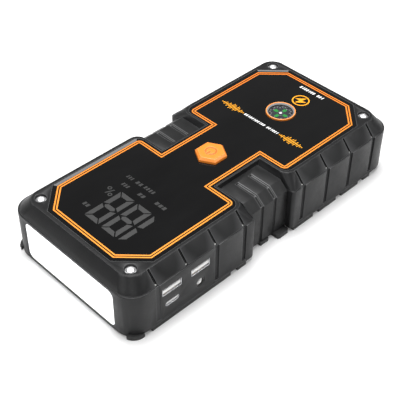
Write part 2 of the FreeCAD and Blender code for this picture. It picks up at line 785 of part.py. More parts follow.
def make_cover_screws():
    """Four button-head screws with hex sockets."""
    screws = []
    for x, y in screw_places():
        seat = screw_seat()
        head = upright(SCREW_HEAD_R, x, y, seat, seat + SCREW_HEAD_H)
        rim = [edge for edge in head.Edges if edge.BoundBox.ZMin > seat + SCREW_HEAD_H - 1e-6]
        head = head.makeFillet(SCREW_HEAD_ROUND, rim)
        shank = upright(SCREW_R - THREAD_SLACK, x, y, seat - SCREW_LENGTH, seat + NIP)
        key = plan_prism(hexagon(SCREW_KEY_R), seat + SCREW_KEY_FLOOR, HEIGHT)
        key.translate(vec(x, y, 0))
        screws.append(join([head, shank]).cut(key))
    return group(screws)


def make_threaded_inserts():
    """Four brass sleeves pressed into the corner posts."""
    sleeves = []
    for x, y in screw_places():
        sleeve = upright(INSERT_R, x, y, JOINT_Z - INSERT_L, JOINT_Z)
        sleeves.append(sleeve.cut(upright(SCREW_R, x, y, JOINT_Z - INSERT_L - OVER, JOINT_Z + OVER)))
    return group(sleeves)


# ---------------------------------------------------------------- glass, lines and display

def glass_corners(inset, waist_inset):
    """The glass outline: cut corners, and a notch for each waist."""
    end = BEZEL_X - GLASS_RIM_X - inset
    side = BEZEL_Y - GLASS_RIM_Y - inset
    cut = GLASS_CUT - inset * (2 - math.sqrt(2))
    waist_x = GLASS_WAIST_X + waist_inset
    waist_y = BRIDGE_HALF - GLASS_WAIST_RIM - waist_inset
    waist_r = max(GLASS_WAIST_R - inset, MIN_R)
    quarter = [(end, side - cut, 0.0), (end - cut, side, 0.0),
               (waist_x, side, waist_r), (waist_x, waist_y, 0.0)]
    upper = quarter + [(-x, y, r) for x, y, r in reversed(quarter)]
    return upper + [(-x, -y, r) for x, y, r in upper]


def glass_prism(inset, z0, z1):
    """The glass outline, inset all round, between two levels."""
    return plan_prism(glass_corners(inset, inset), z0, z1)


def line_loop(step):
    """One border line as a closed strip in the top of the glass, moved in by a step."""
    low = GLASS_TOP - LINE_T
    outside = plan_prism(line_corners(step), low, GLASS_TOP)
    inside = plan_prism(line_corners(step + LINE_W), low, GLASS_TOP)
    return outside.cut(inside)


def line_corners(step):
    """The outer border line's outline, moved in by a step."""
    return glass_corners(LINE_IN_X + step, LINE_IN_WAIST + step)


def border_loops():
    """The outer and the inner border line."""
    return [line_loop(0.0), line_loop(LINE_W + LINE_GAP)]


def make_glass_panel():
    """The black glass, with holes for the button and the compass and shallow line grooves."""
    glass = glass_prism(0.0, GLASS_LOW, GLASS_TOP)
    below = GLASS_LOW - OVER
    above = GLASS_TOP + OVER
    cutters = [plan_prism(hexagon(BUTTON_R + RUN), below, above)]
    cutters.append(upright(COMPASS_R + FIT, compass_x(), 0, below, above))
    return glass.cut(cutters + border_loops())


def make_glass_tape():
    """The adhesive frame under the edge of the glass."""
    outside = glass_prism(FIT, DECK_TOP, GLASS_LOW)
    inside = glass_prism(FIT + TAPE_W, DECK_TOP - OVER, GLASS_LOW + OVER)
    return outside.cut(inside)


def display_prism(grow, z0, z1):
    """The display's plan, grown all round."""
    x = display_x()
    return box(x - DISPLAY_L / 2 - grow, x + DISPLAY_L / 2 + grow,
               DISPLAY_Y - DISPLAY_W / 2 - grow, DISPLAY_Y + DISPLAY_W / 2 + grow, z0, z1)


def make_display_module():
    """The segment display on the main board, reaching up to the glass."""
    return display_prism(0.0, BOARD_TOP, GLASS_LOW - DISPLAY_GAP)


# ---------------------------------------------------------------- power button

def button_low():
    """Level of the underside of the button's flange."""
    return DECK_LOW - FIT - BUTTON_FLANGE_T


def make_power_button():
    """The hexagonal cap with its retaining flange."""
    top = HEIGHT + BUTTON_RISE
    straight = plan_prism(hexagon(BUTTON_R), button_low() + NIP, top - BUTTON_BEVEL)
    crown = plan_loft(hexagon(BUTTON_R), top - BUTTON_BEVEL, hexagon(BUTTON_R - BUTTON_BEVEL), top)
    flange = plan_prism(hexagon(BUTTON_R + BUTTON_FLANGE), button_low(), button_low() + BUTTON_FLANGE_T)
    cap = join([straight, crown, flange])
    return cap.cut(symbol_solids())


def symbol_solids():
    """A broken ring and a bar, the standby sign, sunk in the button's top."""
    top = HEIGHT + BUTTON_RISE
    low = top - SYMBOL_T
    below = low - OVER
    above = top + OVER
    ring = upright(SYMBOL_R, 0, 0, low, top).cut(upright(SYMBOL_R - SYMBOL_W, 0, 0, below, above))
    gap = box(-SYMBOL_R - OVER, 0, -SYMBOL_W, SYMBOL_W, below, above)
    bar = box(-SYMBOL_R - SYMBOL_W / 2, -SYMBOL_W / 2, -SYMBOL_W / 2, SYMBOL_W / 2, low, top)
    return [ring.cut(gap), bar]


def make_return_spring():
    """The silicone sleeve that lifts the button."""
    radius = BUTTON_R - SPRING_IN
    outside = upright(radius, 0, 0, BOARD_TOP, button_low())
    return outside.cut(upright(radius - SPRING_W, 0, 0, BOARD_TOP - OVER, button_low() + OVER))


def make_button_switch():
    """The tact switch under the button."""
    half = SWITCH_W / 2
    plunger_top = button_low() - BUTTON_TRAVEL - SWITCH_GAP
    body = box(-half, half, -half, half, BOARD_TOP, BOARD_TOP + SWITCH_H)
    return join([body, upright(PLUNGER_R, 0, 0, BOARD_TOP, plunger_top)])


# ---------------------------------------------------------------- compass

def compass_x():
    """Middle of the compass along the pack."""
    return HALF_L - COMPASS_FROM_END


def compass_low():
    """Level of the cup's underside."""
    return GLASS_TOP - COMPASS_DEPTH


def card_top():
    """Level of the card's printed face."""
    return lens_low() - COMPASS_CARD_GAP


def lens_low():
    """Level of the underside of the compass lens."""
    return GLASS_TOP + COMPASS_RING_RISE - COMPASS_LENS_SINK - COMPASS_LENS_T


def card_hole_r():
    """Radius inside the cup."""
    return COMPASS_CUP_R - COMPASS_CUP_T


def make_compass_cup():
    """The round cup that hangs through the deck."""
    x = compass_x()
    outside = upright(COMPASS_CUP_R, x, 0, compass_low(), lens_low())
    return outside.cut(upright(card_hole_r(), x, 0, compass_low() + COMPASS_CUP_T, lens_low() + OVER))


def make_compass_ring():
    """The raised ring around the compass."""
    x = compass_x()
    top = GLASS_TOP + COMPASS_RING_RISE
    ring = upright(COMPASS_R, x, 0, lens_low(), top)
    rim = [edge for edge in ring.Edges if edge.BoundBox.ZMin > top - 1e-6]
    ring = ring.makeFillet(COMPASS_RING_EASE, rim)
    skirt = upright(COMPASS_R, x, 0, GLASS_LOW, lens_low() + NIP)
    cutter = upright(COMPASS_R - COMPASS_RING_W, x, 0, lens_low(), top + OVER)
    hollow = upright(COMPASS_CUP_R, x, 0, GLASS_LOW - OVER, lens_low())
    return join([ring, skirt]).cut([cutter, hollow])


def make_compass_lens():
    """The clear window over the card."""
    x = compass_x()
    radius = COMPASS_R - COMPASS_RING_W - COMPASS_LENS_SLACK
    return upright(radius, x, 0, lens_low(), lens_low() + COMPASS_LENS_T)


def make_compass_card():
    """The card that turns on the pivot, with a low rim and a hub."""
    x = compass_x()
    top = card_top()
    disc = upright(card_hole_r() - RUN, x, 0, top - COMPASS_CARD_T, top)
    hub = upright(CARD_HUB_R, x, 0, top - COMPASS_CARD_T, top + CARD_HUB_RISE)
    socket = upright(PIVOT_R + PIVOT_SLACK, x, 0, top - COMPASS_CARD_T - OVER, top - CARD_HUB_ROOF)
    return join([disc, hub]).cut(socket)


def make_compass_magnet():
    """The bar magnet glued under the card."""
    x = compass_x()
    top = card_top() - COMPASS_CARD_T
    bar = box(x - MAGNET_L / 2, x + MAGNET_L / 2, -MAGNET_W / 2, MAGNET_W / 2, top - MAGNET_T, top)
    return bar.cut(upright(PIVOT_R + 2 * PIVOT_SLACK, x, 0, top - MAGNET_T - OVER, top + OVER))


def make_compass_pivot():
    """The needle pin that carries the card."""
    x = compass_x()
    floor = compass_low() + COMPASS_CUP_T
    tip = card_top() - PIVOT_GAP
    pin = upright(PIVOT_R, x, 0, floor, tip - PIVOT_R)
    return join([pin, Part.makeCone(PIVOT_R, PIVOT_TIP_R, PIVOT_R, vec(x, 0, tip - PIVOT_R))])


# ---------------------------------------------------------------- lamp

def lamp_levels():
    """Low and high level of the lamp's inner box."""
    return FLOOR_TOP + FIT, JOINT_Z - FIT


def lamp_box(x0, x1, inset):
    """A plain box of the lamp's inner size."""
    low, high = lamp_levels()
    half = LAMP_HALF_W + LAMP_FLANGE - inset
    return box(x0, x1, -half, half, low + inset, high - inset)


def make_lamp_lens():
    """The white window with a flange behind the wall."""
    window = lamp_window(-FIT, -HALF_L + LAMP_SINK, -INNER_X)
    flange = lamp_box(-INNER_X, -INNER_X + LAMP_FLANGE_T, 0.0)
    return join([window, flange])


def make_lamp_reflector():
    """The white tray behind the window."""
    start = -INNER_X + LAMP_FLANGE_T
    tray = lamp_box(start, start + LAMP_TRAY_D, 0.0)
    hollow = lamp_box(start - OVER, start + LAMP_TRAY_D - LAMP_TRAY_T, LAMP_TRAY_T)
    holes = [box(start, start + LAMP_TRAY_D + OVER, y - LED_W / 2 - FIT, y + LED_W / 2 + FIT,
                 z - LED_W / 2 - FIT, z + LED_W / 2 + FIT) for y, z in led_places()]
    return tray.cut([hollow] + holes)


def lamp_board_x():
    """The lamp board's face towards the window."""
    return -INNER_X + LAMP_FLANGE_T + LAMP_TRAY_D


def led_places():
    """Y and Z of the lamp's LEDs."""
    low, high = lamp_levels()
    half = SCREW_Y - POST_R - LED_W
    ys = [-half + 2 * half * step / (LED_COLUMNS - 1) for step in range(LED_COLUMNS)]
    zs = [low + (high - low) * (step + 0.5) / LED_ROWS for step in range(LED_ROWS)]
    return [(y, z) for y in ys for z in zs]


def make_lamp_board():
    """The board that carries the lamp's LEDs, between the corner posts."""
    half = SCREW_Y - POST_R - FIT
    low, high = lamp_levels()
    start = lamp_board_x()
    return box(start, start + LAMP_BOARD_T, -half, half, low + LAMP_BOARD_IN, high - LAMP_BOARD_IN)


def make_lamp_leds():
    """The LED chips in their rows."""
    face = lamp_board_x()
    half = LED_W / 2
    return group([box(face - LED_H, face, y - half, y + half, z - half, z + half) for y, z in led_places()])


# ---------------------------------------------------------------- charging sockets

def socket_front():
    """Y of the sockets' mouths."""
    return -HALF_W + SOCKET_SINK


def make_usb_a_shells():
    """Two bent-metal USB-A shells."""
    shells = []
    for x in usb_a_places():
        outer, inner = [rectangle(x - USB_A_W / 2 + wall, x + USB_A_W / 2 - wall,
                                  USB_A_Z - USB_A_H / 2 + wall, USB_A_Z + USB_A_H / 2 - wall, radius)
                        for wall, radius in zip((0.0, USB_A_T), USB_A_CORNERS)]
        shell = side_prism(outer, socket_front(), port_board_y())
        shells.append(shell.cut(side_prism(inner, socket_front() - OVER, port_board_y() - OVER)))
    return group(shells)


def make_usb_a_tongues():
    """The contact tongue in each USB-A socket."""
    tongues = []
    top = USB_A_Z + USB_A_H / 2 - USB_A_T - TONGUE_HEAD
    half = USB_A_W / 2 - USB_A_T - TONGUE_SIDE
    for x in usb_a_places():
        tongues.append(box(x - half, x + half, socket_front() + TONGUE_BACK, port_board_y() - OVER,
                           top - TONGUE_T, top))
    return group(tongues)


def usb_c_slot(grow, y0, y1):
    """A round-ended bar of the USB-C slot's section."""
    x = -HALF_L + USB_C_FROM_END
    half_h = USB_C_H / 2 + grow
    corners = rectangle(x - USB_C_W / 2 - grow, x + USB_C_W / 2 + grow, USB_C_Z - half_h, USB_C_Z + half_h,
                        half_h - ROUND_SHORT)
    return side_prism(corners, y0, y1)


def make_usb_c_shell():
    """The USB-C socket's round-ended metal shell, with its foot on the board."""
    front = socket_front()
    back = front + USB_C_DEPTH
    shell = usb_c_slot(0.0, front, back).cut(usb_c_slot(-USB_A_T, front - OVER, back - OVER))
    x = -HALF_L + USB_C_FROM_END
    half_w, half_h = USB_C_FOOT
    foot = box(x - half_w, x + half_w, back - NIP, port_board_y(), USB_C_Z - half_h, USB_C_Z + half_h)
    return join([shell, foot])


def make_usb_c_tongue():
    """The USB-C contact tongue."""
    x = -HALF_L + USB_C_FROM_END
    half = USB_C_W / 2 - USB_C_TONGUE_IN[0]
    front = socket_front()
    return box(x - half, x + half, front + USB_C_TONGUE_IN[1], front + USB_C_DEPTH - OVER,
               USB_C_Z - USB_C_TONGUE_T / 2, USB_C_Z + USB_C_TONGUE_T / 2)


def make_dc_socket():
    """The round charging socket: a nose in the wall and a square body behind it."""
    x = -HALF_L + DC_FROM_END
    along = vec(0, 1, 0)
    nose = lying(DC_R, vec(x, socket_front(), DC_Z), along, WALL + OVER)
    half = DC_BODY_W / 2
    body = box(x - half, x + half, -INNER_Y + FIT, port_board_y(), DC_Z - half, DC_Z + half)
    bore = lying(DC_R - DC_NOSE_T, vec(x, socket_front() - OVER, DC_Z), along,
                 USB_A_DEPTH - DC_BORE_END)
    return join([nose, body]).cut(bore)


def make_dc_pin():
    """The charging socket's centre pin."""
    x = -HALF_L + DC_FROM_END
    start = vec(x, socket_front() + OVER, DC_Z)
    return lying(DC_PIN_R, start, vec(0, 1, 0), USB_A_DEPTH - 2 * DC_BORE_END)


def make_port_board():
    """The upright board behind the sockets."""
    low_x, high_x, low_z, high_z = port_board_span()
    return box(low_x, high_x, port_board_y(), port_board_y() + PORT_BOARD_T, low_z, high_z)


# ---------------------------------------------------------------- main board and battery

def make_main_board():
    """The main circuit board with its screw holes."""
    board = box(board_start(), BOARD_END_X, -BOARD_HALF_W, BOARD_HALF_W, BOARD_LOW, BOARD_TOP)
    holes = [upright(BOARD_SCREW_R + FIT, x, y, BOARD_LOW - OVER, BOARD_TOP + OVER)
             for x, y in board_post_places()]
    return board.cut(holes)


def make_board_parts():
    """The tall parts on the board: two coils, a row of power switches and a capacitor."""
    start = display_x() + DISPLAY_L / 2 + 2 * PART_GAP
    coil_y = BOARD_POST_Y - BOARD_SCREW_HEAD_R - PART_GAP - COIL_W / 2
    parts = []
    for side in SIDES:
        y = side * coil_y
        parts.append(box(start, start + COIL_W, y - COIL_W / 2, y + COIL_W / 2,
                         BOARD_TOP, BOARD_TOP + COIL_H))
    span = 2 * coil_y - COIL_W - PART_GAP
    pitch = span / SWITCH_COUNT
    for step in range(SWITCH_COUNT):
        y = -span / 2 + pitch * (step + 0.5)
        half = pitch * POWER_SWITCH_FILL / 2
        near = start + PART_GAP
        parts.append(box(near, near + POWER_SWITCH_L, y - half, y + half,
                         BOARD_TOP, BOARD_TOP + POWER_SWITCH_H))
    parts.append(upright(CAPACITOR_R, start + CAPACITOR_X, coil_y, BOARD_TOP, BOARD_TOP + COIL_H))
    return group(parts)


def make_board_screws():
    """Four small pan-head screws into the board's posts."""
    screws = []
    for x, y in board_post_places():
        shank = upright(BOARD_SCREW_R - PILOT_SLACK, x, y, BOARD_TOP - BOARD_SCREW_L, BOARD_TOP + NIP)
        head = upright(BOARD_SCREW_HEAD_R, x, y, BOARD_TOP, BOARD_TOP + BOARD_SCREW_HEAD_H)
        screws.append(join([shank, head]))
    return group(screws)


def clamp_back():
    """X of the back of the clamp-lead socket's body."""
    return INNER_X - FLANGE_T - CLAMP_BODY_L


def battery_end():
    """The battery's +X end."""
    return clamp_back() - BATTERY_END_GAP


def cell_levels():
    """Low and high level of each cell in the stack."""
    low = FLOOR_TOP + PAD_T
    high = BOARD_LOW - BATTERY_TOP_GAP
    thickness = (high - low - CELL_GAP * (CELL_COUNT - 1)) / CELL_COUNT
    starts = [low + (thickness + CELL_GAP) * step for step in range(CELL_COUNT)]
    return [(start, start + thickness) for start in starts]


def make_battery_cells():
    """Flat pouch cells in a stack."""
    corners = rectangle(battery_start(), battery_end(), -CELL_W / 2, CELL_W / 2, CELL_R)
    return group([plan_prism(corners, low, high) for low, high in cell_levels()])


def make_cell_pads():
    """Foam under the stack and between its cells."""
    x0 = battery_start() + PAD_IN
    x1 = battery_end() - PAD_IN
    half = CELL_W / 2 - PAD_IN
    levels = cell_levels()
    gaps = [(FLOOR_TOP, levels[0][0])]
    gaps += [(levels[step][1], levels[step + 1][0]) for step in range(CELL_COUNT - 1)]
    return group([box(x0, x1, -half, half, low, high) for low, high in gaps])


def make_cell_tabs():
    """Two metal tabs from the cells up to the main board."""
    x = battery_start()
    low = cell_levels()[0][0] + TERMINAL_IN
    return group([box(x - TAB_T, x, y - TAB_W / 2, y + TAB_W / 2, low, BOARD_LOW) for y in (-TAB_Y, TAB_Y)])


def make_bus_bars():
    """Two bent bars from the cells to the clamp-lead socket's contacts."""
    bars = []
    low = cell_levels()[0][0] + TERMINAL_IN
    high = cell_levels()[-1][1] - TERMINAL_IN
    half = BAR_W / 2 - BAR_NARROW
    for side in SIDES:
        y = side * CLAMP_POLE_Y
        upright_bar = box(battery_end(), battery_end() + BAR_T, y - half, y + half, low, high)
        level_bar = box(battery_end(), sleeve_back(), y - BAR_T, y + BAR_T, FLAP_Z - BAR_T, FLAP_Z + BAR_T)
        bars.append(join([upright_bar, level_bar]))
    return group(bars)


# ---------------------------------------------------------------- clamp-lead socket and flap

def sleeve_back():
    """X of the back of the contact sleeves."""
    return INNER_X - SLEEVE_SINK - SLEEVE_L


def make_clamp_socket():
    """The two-pole socket, its flange behind the wall and its hinge ears."""
    flange = box(INNER_X - FLANGE_T, INNER_X, -FLAP_HALF_W - FLANGE_OVER, FLAP_HALF_W + FLANGE_OVER + OVER,
                 max(FLAP_Z - FLAP_HALF_H - FLANGE_OVER, FLOOR_TOP + FIT),
                 min(FLAP_Z + FLAP_HALF_H + FLANGE_OVER, JOINT_Z - FIT - SEAL_H))
    body = box(clamp_back(), INNER_X - LAP, -CLAMP_BODY_HALF_W, CLAMP_BODY_HALF_W,
               FLAP_Z - CLAMP_BODY_HALF_H, FLAP_Z + CLAMP_BODY_HALF_H)
    socket = join([flange, body] + flap_ears())
    along = vec(1, 0, 0)
    cutters = []
    for side in SIDES:
        y = side * CLAMP_POLE_Y
        cutters.append(lying(SLEEVE_R + SLEEVE_T, vec(sleeve_back(), y, FLAP_Z), along, SLEEVE_L))
        cutters.append(lying(SLEEVE_R, vec(sleeve_back(), y, FLAP_Z), along, SLEEVE_L + SLEEVE_SINK + OVER))
        cutters.append(box(clamp_back() - OVER, sleeve_back() + NIP, y - BAR_T, y + BAR_T,
                           FLAP_Z - BAR_T, FLAP_Z + BAR_T))
    cutters.append(flap_pin_bar(0.0))
    return socket.cut(cutters)


def flap_ears():
    """The two hinge ears that reach out beside the flap."""
    x, y = flap_hinge()
    ears = []
    for side in SIDES:
        z_out = FLAP_Z + side * (FLAP_HALF_H - RUN)
        z_in = z_out - side * EAR_H
        low, high = min(z_out, z_in), max(z_out, z_in)
        ears.append(box(INNER_X - NIP, x, y - FLAP_T / 2, y + FLAP_T / 2, low, high))
        ears.append(upright(FLAP_T / 2, x, y, low, high))
    return ears


def flap_pin_bar(grow):
    """A bar along the hinge pin's line."""
    x, y = flap_hinge()
    reach = FLAP_HALF_H - RUN
    return upright(FLAP_PIN_R + grow, x, y, FLAP_Z - reach, FLAP_Z + reach)


def make_socket_sleeves():
    """Two contact sleeves that take the clamp lead's pins."""
    sleeves = []
    along = vec(1, 0, 0)
    for side in SIDES:
        start = vec(sleeve_back(), side * CLAMP_POLE_Y, FLAP_Z)
        sleeve = lying(SLEEVE_R + SLEEVE_T, start, along, SLEEVE_L)
        sleeves.append(sleeve.cut(lying(SLEEVE_R, start, along, SLEEVE_L)))
    return group(sleeves)


def make_socket_flap():
    """The dust flap, with its knuckle and a pull lip."""
    x, y = flap_hinge()
    plate_end = y - FLAP_T / 2 - RUN
    corners = rectangle(-FLAP_HALF_W, plate_end, FLAP_Z - FLAP_HALF_H, FLAP_Z + FLAP_HALF_H, FLAP_R)
    plate = end_prism(corners, x - FLAP_T / 2, x + FLAP_T / 2)
    reach = FLAP_HALF_H - RUN - EAR_H - RUN
    arm = box(x - FLAP_T / 2, x + FLAP_T / 2, plate_end - OVER, y, FLAP_Z - reach, FLAP_Z + reach)
    knuckle = upright(FLAP_T / 2, x, y, FLAP_Z - reach, FLAP_Z + reach)
    return join([plate, arm, knuckle]).cut(flap_pin_bar(PIN_RUN))


PARTS = {
    "lower_housing": make_lower_housing,
    "top_cover": make_top_cover,
    "shell_seal": lambda: seal_ring(FIT / 2),
    "near_grip": lambda: make_grip(-1),
    "far_grip": lambda: make_grip(1),
    "cover_screws": make_cover_screws,
    "threaded_inserts": make_threaded_inserts,
    "near_skid": lambda: make_skid(-1),
    "far_skid": lambda: make_skid(1),
    "glass_panel": make_glass_panel,
    "glass_tape": make_glass_tape,
    "border_lines": lambda: group(border_loops()),
    "display_module": make_display_module,
    "power_button": make_power_button,
    "power_symbol": lambda: group(symbol_solids()),
    "return_spring": make_return_spring,
    "button_switch": make_button_switch,
    "compass_cup": make_compass_cup,
    "compass_ring": make_compass_ring,
    "compass_lens": make_compass_lens,
    "compass_card": make_compass_card,
    "compass_magnet": make_compass_magnet,
    "compass_pivot": make_compass_pivot,
    "lamp_lens": make_lamp_lens,
    "lamp_reflector": make_lamp_reflector,
    "lamp_board": make_lamp_board,
    "lamp_leds": make_lamp_leds,
    "usb_a_shells": make_usb_a_shells,
    "usb_a_tongues": make_usb_a_tongues,
    "usb_c_shell": make_usb_c_shell,
    "usb_c_tongue": make_usb_c_tongue,
    "dc_socket": make_dc_socket,
    "dc_pin": make_dc_pin,
    "port_board": make_port_board,
    "main_board": make_main_board,
    "board_parts": make_board_parts,
    "board_screws": make_board_screws,
    "battery_cells": make_battery_cells,
    "cell_pads": make_cell_pads,
    "cell_tabs": make_cell_tabs,
    "bus_bars": make_bus_bars,
    "clamp_socket": make_clamp_socket,
    "socket_sleeves": make_socket_sleeves,
    "socket_flap": make_socket_flap,
    "flap_pin": lambda: flap_pin_bar(0.0),
}


def main():
    """Builds every piece and writes it to its own file."""
    os.makedirs("parts", exist_ok=True)
    for name, make in PARTS.items():
        shape = make()
        shape.exportStep(os.path.join("parts", name + ".step"))
        print(name, len(shape.Solids), round(shape.Volume / 1000, 3), shape.isValid())


main()
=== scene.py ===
"""Looks of a jump starter pack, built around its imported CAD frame. Metres, Z up, standing on Z = 0."""
import json
import logging
import math
from collections.abc import Callable, Sequence
from dataclasses import dataclass
from enum import Enum

import bmesh
import bpy
from mathutils import Matrix, Vector


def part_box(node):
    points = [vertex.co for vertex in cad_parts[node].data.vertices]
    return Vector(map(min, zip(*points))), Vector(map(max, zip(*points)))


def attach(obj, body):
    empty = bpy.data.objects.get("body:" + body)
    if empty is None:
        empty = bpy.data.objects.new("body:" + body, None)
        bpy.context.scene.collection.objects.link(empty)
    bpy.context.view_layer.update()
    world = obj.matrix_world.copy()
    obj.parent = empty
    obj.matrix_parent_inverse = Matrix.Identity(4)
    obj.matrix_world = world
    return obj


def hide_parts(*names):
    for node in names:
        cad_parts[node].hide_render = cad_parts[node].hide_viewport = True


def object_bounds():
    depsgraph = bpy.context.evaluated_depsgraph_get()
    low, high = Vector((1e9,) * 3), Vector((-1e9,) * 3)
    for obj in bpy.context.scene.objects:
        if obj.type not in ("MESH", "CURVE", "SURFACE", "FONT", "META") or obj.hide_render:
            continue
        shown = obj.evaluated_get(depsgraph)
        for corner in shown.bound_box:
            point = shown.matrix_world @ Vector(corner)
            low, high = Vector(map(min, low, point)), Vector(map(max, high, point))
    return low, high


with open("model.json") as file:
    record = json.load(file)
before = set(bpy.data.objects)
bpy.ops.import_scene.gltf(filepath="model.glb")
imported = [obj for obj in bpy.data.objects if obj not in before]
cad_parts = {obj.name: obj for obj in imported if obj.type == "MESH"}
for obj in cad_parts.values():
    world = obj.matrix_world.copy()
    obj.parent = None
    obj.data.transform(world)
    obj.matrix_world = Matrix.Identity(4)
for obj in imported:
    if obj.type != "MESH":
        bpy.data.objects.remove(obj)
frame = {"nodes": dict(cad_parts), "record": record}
CAD_LOW, CAD_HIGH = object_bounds()

logging.basicConfig(level=logging.INFO, format="%(name)s: %(message)s")
LOG = logging.getLogger("jump_starter_looks")

MM = 0.001
SIDES = (-1, 1)
SAME_PLACE = 0.002 * MM
SHARP_ANGLE = 30.0
FLAT_ANGLE = 0.6
COPY_SMOOTH_ANGLE = 35.0


class Body(Enum):
    """The CAD bodies that pieces ride on."""

    PACK = "pack"
    BUTTON = "button"
    DIAL = "compass_dial"
    FLAP = "flap"


# ------------------------------------------------------------------ finishes


class Graph:
    """A material's node tree, with short calls for the nodes that the finishes use."""

    def __init__(self, name: str) -> None:
        """Starts a material with one Principled shader.

        Args:
            name: The material's name.
        """
        self.material = bpy.data.materials.new(name)
        self.material.use_nodes = True
        self.tree = self.material.node_tree
        self.shader = self.tree.nodes["Principled BSDF"]
        self._places: bpy.types.NodeSocket | None = None

    def node(self, kind: str, **settings: object) -> bpy.types.Node:
        """Adds a node.

        Args:
            kind: The node's type name.
            **settings: Attributes to set on it.

        Returns:
            The new node.
        """
        made = self.tree.nodes.new(kind)
        for key, value in settings.items():
            setattr(made, key, value)
        return made

    def link(self, source: bpy.types.NodeSocket, target: bpy.types.NodeSocket) -> None:
        """Joins two sockets."""
        self.tree.links.new(source, target)

    def places(self) -> bpy.types.NodeSocket:
        """The Object coordinates, which on this pack are metres in its own frame."""
        if self._places is None:
            self._places = self.node("ShaderNodeTexCoord").outputs["Object"]
        return self._places

    def stretched(self, scale: tuple[float, float, float]) -> bpy.types.NodeSocket:
        """Object coordinates scaled by axis.

        Args:
            scale: Factor for each axis.

        Returns:
            The scaled vector socket.
        """
        mapping = self.node("ShaderNodeMapping")
        mapping.inputs["Scale"].default_value = scale
        self.link(self.places(), mapping.inputs["Vector"])
        return mapping.outputs["Vector"]

    def noise(self, scale: float, detail: float = 2.0, rough: float = 0.5,
              vector: bpy.types.NodeSocket | None = None) -> bpy.types.NodeSocket:
        """A noise value.

        Args:
            scale: Cycles per metre.
            detail: Octaves.
            rough: Weight of the finer octaves.
            vector: Coordinates, or None for plain Object ones.

        Returns:
            The factor socket.
        """
        made = self.node("ShaderNodeTexNoise")
        made.inputs["Scale"].default_value = scale
        made.inputs["Detail"].default_value = detail
        made.inputs["Roughness"].default_value = rough
        self.link(vector or self.places(), made.inputs["Vector"])
        return made.outputs["Fac"]

    def cells(self, scale: float) -> bpy.types.NodeSocket:
        """Distance to the nearest of scattered points, for a pebbled grain."""
        made = self.node("ShaderNodeTexVoronoi")
        made.inputs["Scale"].default_value = scale
        self.link(self.places(), made.inputs["Vector"])
        return made.outputs["Distance"]

    def axis(self, name: str) -> bpy.types.NodeSocket:
        """One axis of the Object coordinates, in metres."""
        parts = self.node("ShaderNodeSeparateXYZ")
        self.link(self.places(), parts.inputs["Vector"])
        return parts.outputs[name]

    def math(self, operation: str, first: object, second: object = 0.0) -> bpy.types.NodeSocket:
        """A math node.

        Args:
            operation: Its operation name.
            first: A socket or a number.
            second: A socket or a number.

        Returns:
            The result socket.
        """
        made = self.node("ShaderNodeMath", operation=operation)
        for index, value in enumerate((first, second)):
            if isinstance(value, bpy.types.NodeSocket):
                self.link(value, made.inputs[index])
            else:
                made.inputs[index].default_value = value
        return made.outputs["Value"]

    def span(self, value: bpy.types.NodeSocket, low: float, high: float,
             to_low: float = 0.0, to_high: float = 1.0) -> bpy.types.NodeSocket:
        """Maps a range of values to another one, clamped.

        Args:
            value: The value to map.
            low: Value that becomes to_low.
            high: Value that becomes to_high.
            to_low: Result at low.
            to_high: Result at high.

        Returns:
            The result socket.
        """
        made = self.node("ShaderNodeMapRange")
        self.link(value, made.inputs["Value"])
        for key, number in (("From Min", low), ("From Max", high), ("To Min", to_low), ("To Max", to_high)):
            made.inputs[key].default_value = number
        return made.outputs["Result"]

    def blend(self, factor: bpy.types.NodeSocket, first: tuple, second: tuple) -> bpy.types.NodeSocket:
        """A colour between two, each a colour or a socket.

        Args:
            factor: 0 for the first colour, 1 for the second.
            first: First colour.
            second: Second colour.

        Returns:
            The colour socket.
        """
        made = self.node("ShaderNodeMix", data_type="RGBA")
        self.link(factor, made.inputs["Factor"])
        for key, value in (("A", first), ("B", second)):
            socket = next(s for s in made.inputs if s.name == key and s.type == "RGBA")
            if isinstance(value, bpy.types.NodeSocket):
                self.link(value, socket)
            else:
                socket.default_value = (*value, 1.0)
        return next(s for s in made.outputs if s.type == "RGBA")

    def edges(self, radius: float) -> bpy.types.NodeSocket:
        """How close a point is to a sharp edge: 0 on flats, rising to 1 on the edge, most where it faces up,
        which paints a highlight as if the edge were lit from above.

        Args:
            radius: How far from the edge it starts, in metres.

        Returns:
            The factor socket.
        """
        soft = self.node("ShaderNodeBevel", samples=4)
        soft.inputs["Radius"].default_value = radius
        plain = self.node("ShaderNodeNewGeometry")
        dot = self.node("ShaderNodeVectorMath", operation="DOT_PRODUCT")
        self.link(soft.outputs["Normal"], dot.inputs[0])
        self.link(plain.outputs["True Normal"], dot.inputs[1])
        lean = self.node("ShaderNodeSeparateXYZ")
        self.link(soft.outputs["Normal"], lean.inputs["Vector"])
        # Leaning the mask towards upward-facing edges is painted light from above.
        upward = self.span(lean.outputs["Z"], 0.0, 0.7, 0.3, 1.0)
        return self.math("MULTIPLY", self.span(dot.outputs["Value"], 0.992, 0.93), upward)

    def bump(self, height: bpy.types.NodeSocket, distance: float, strength: float = 1.0,
             soften: float = 0.0) -> None:
        """Gives the shader a bumped normal.

        Args:
            height: Height from 0 to 1.
            distance: Height of 1, in metres.
            strength: Weight of the bump.
            soften: Radius of rounding that sharp edges are shaded with, in metres.
        """
        made = self.node("ShaderNodeBump")
        made.inputs["Strength"].default_value = strength
        made.inputs["Distance"].default_value = distance
        self.link(height, made.inputs["Height"])
        if soften > 0:
            soft = self.node("ShaderNodeBevel", samples=4)
            soft.inputs["Radius"].default_value = soften
            self.link(soft.outputs["Normal"], made.inputs["Normal"])
        self.link(made.outputs["Normal"], self.shader.inputs["Normal"])

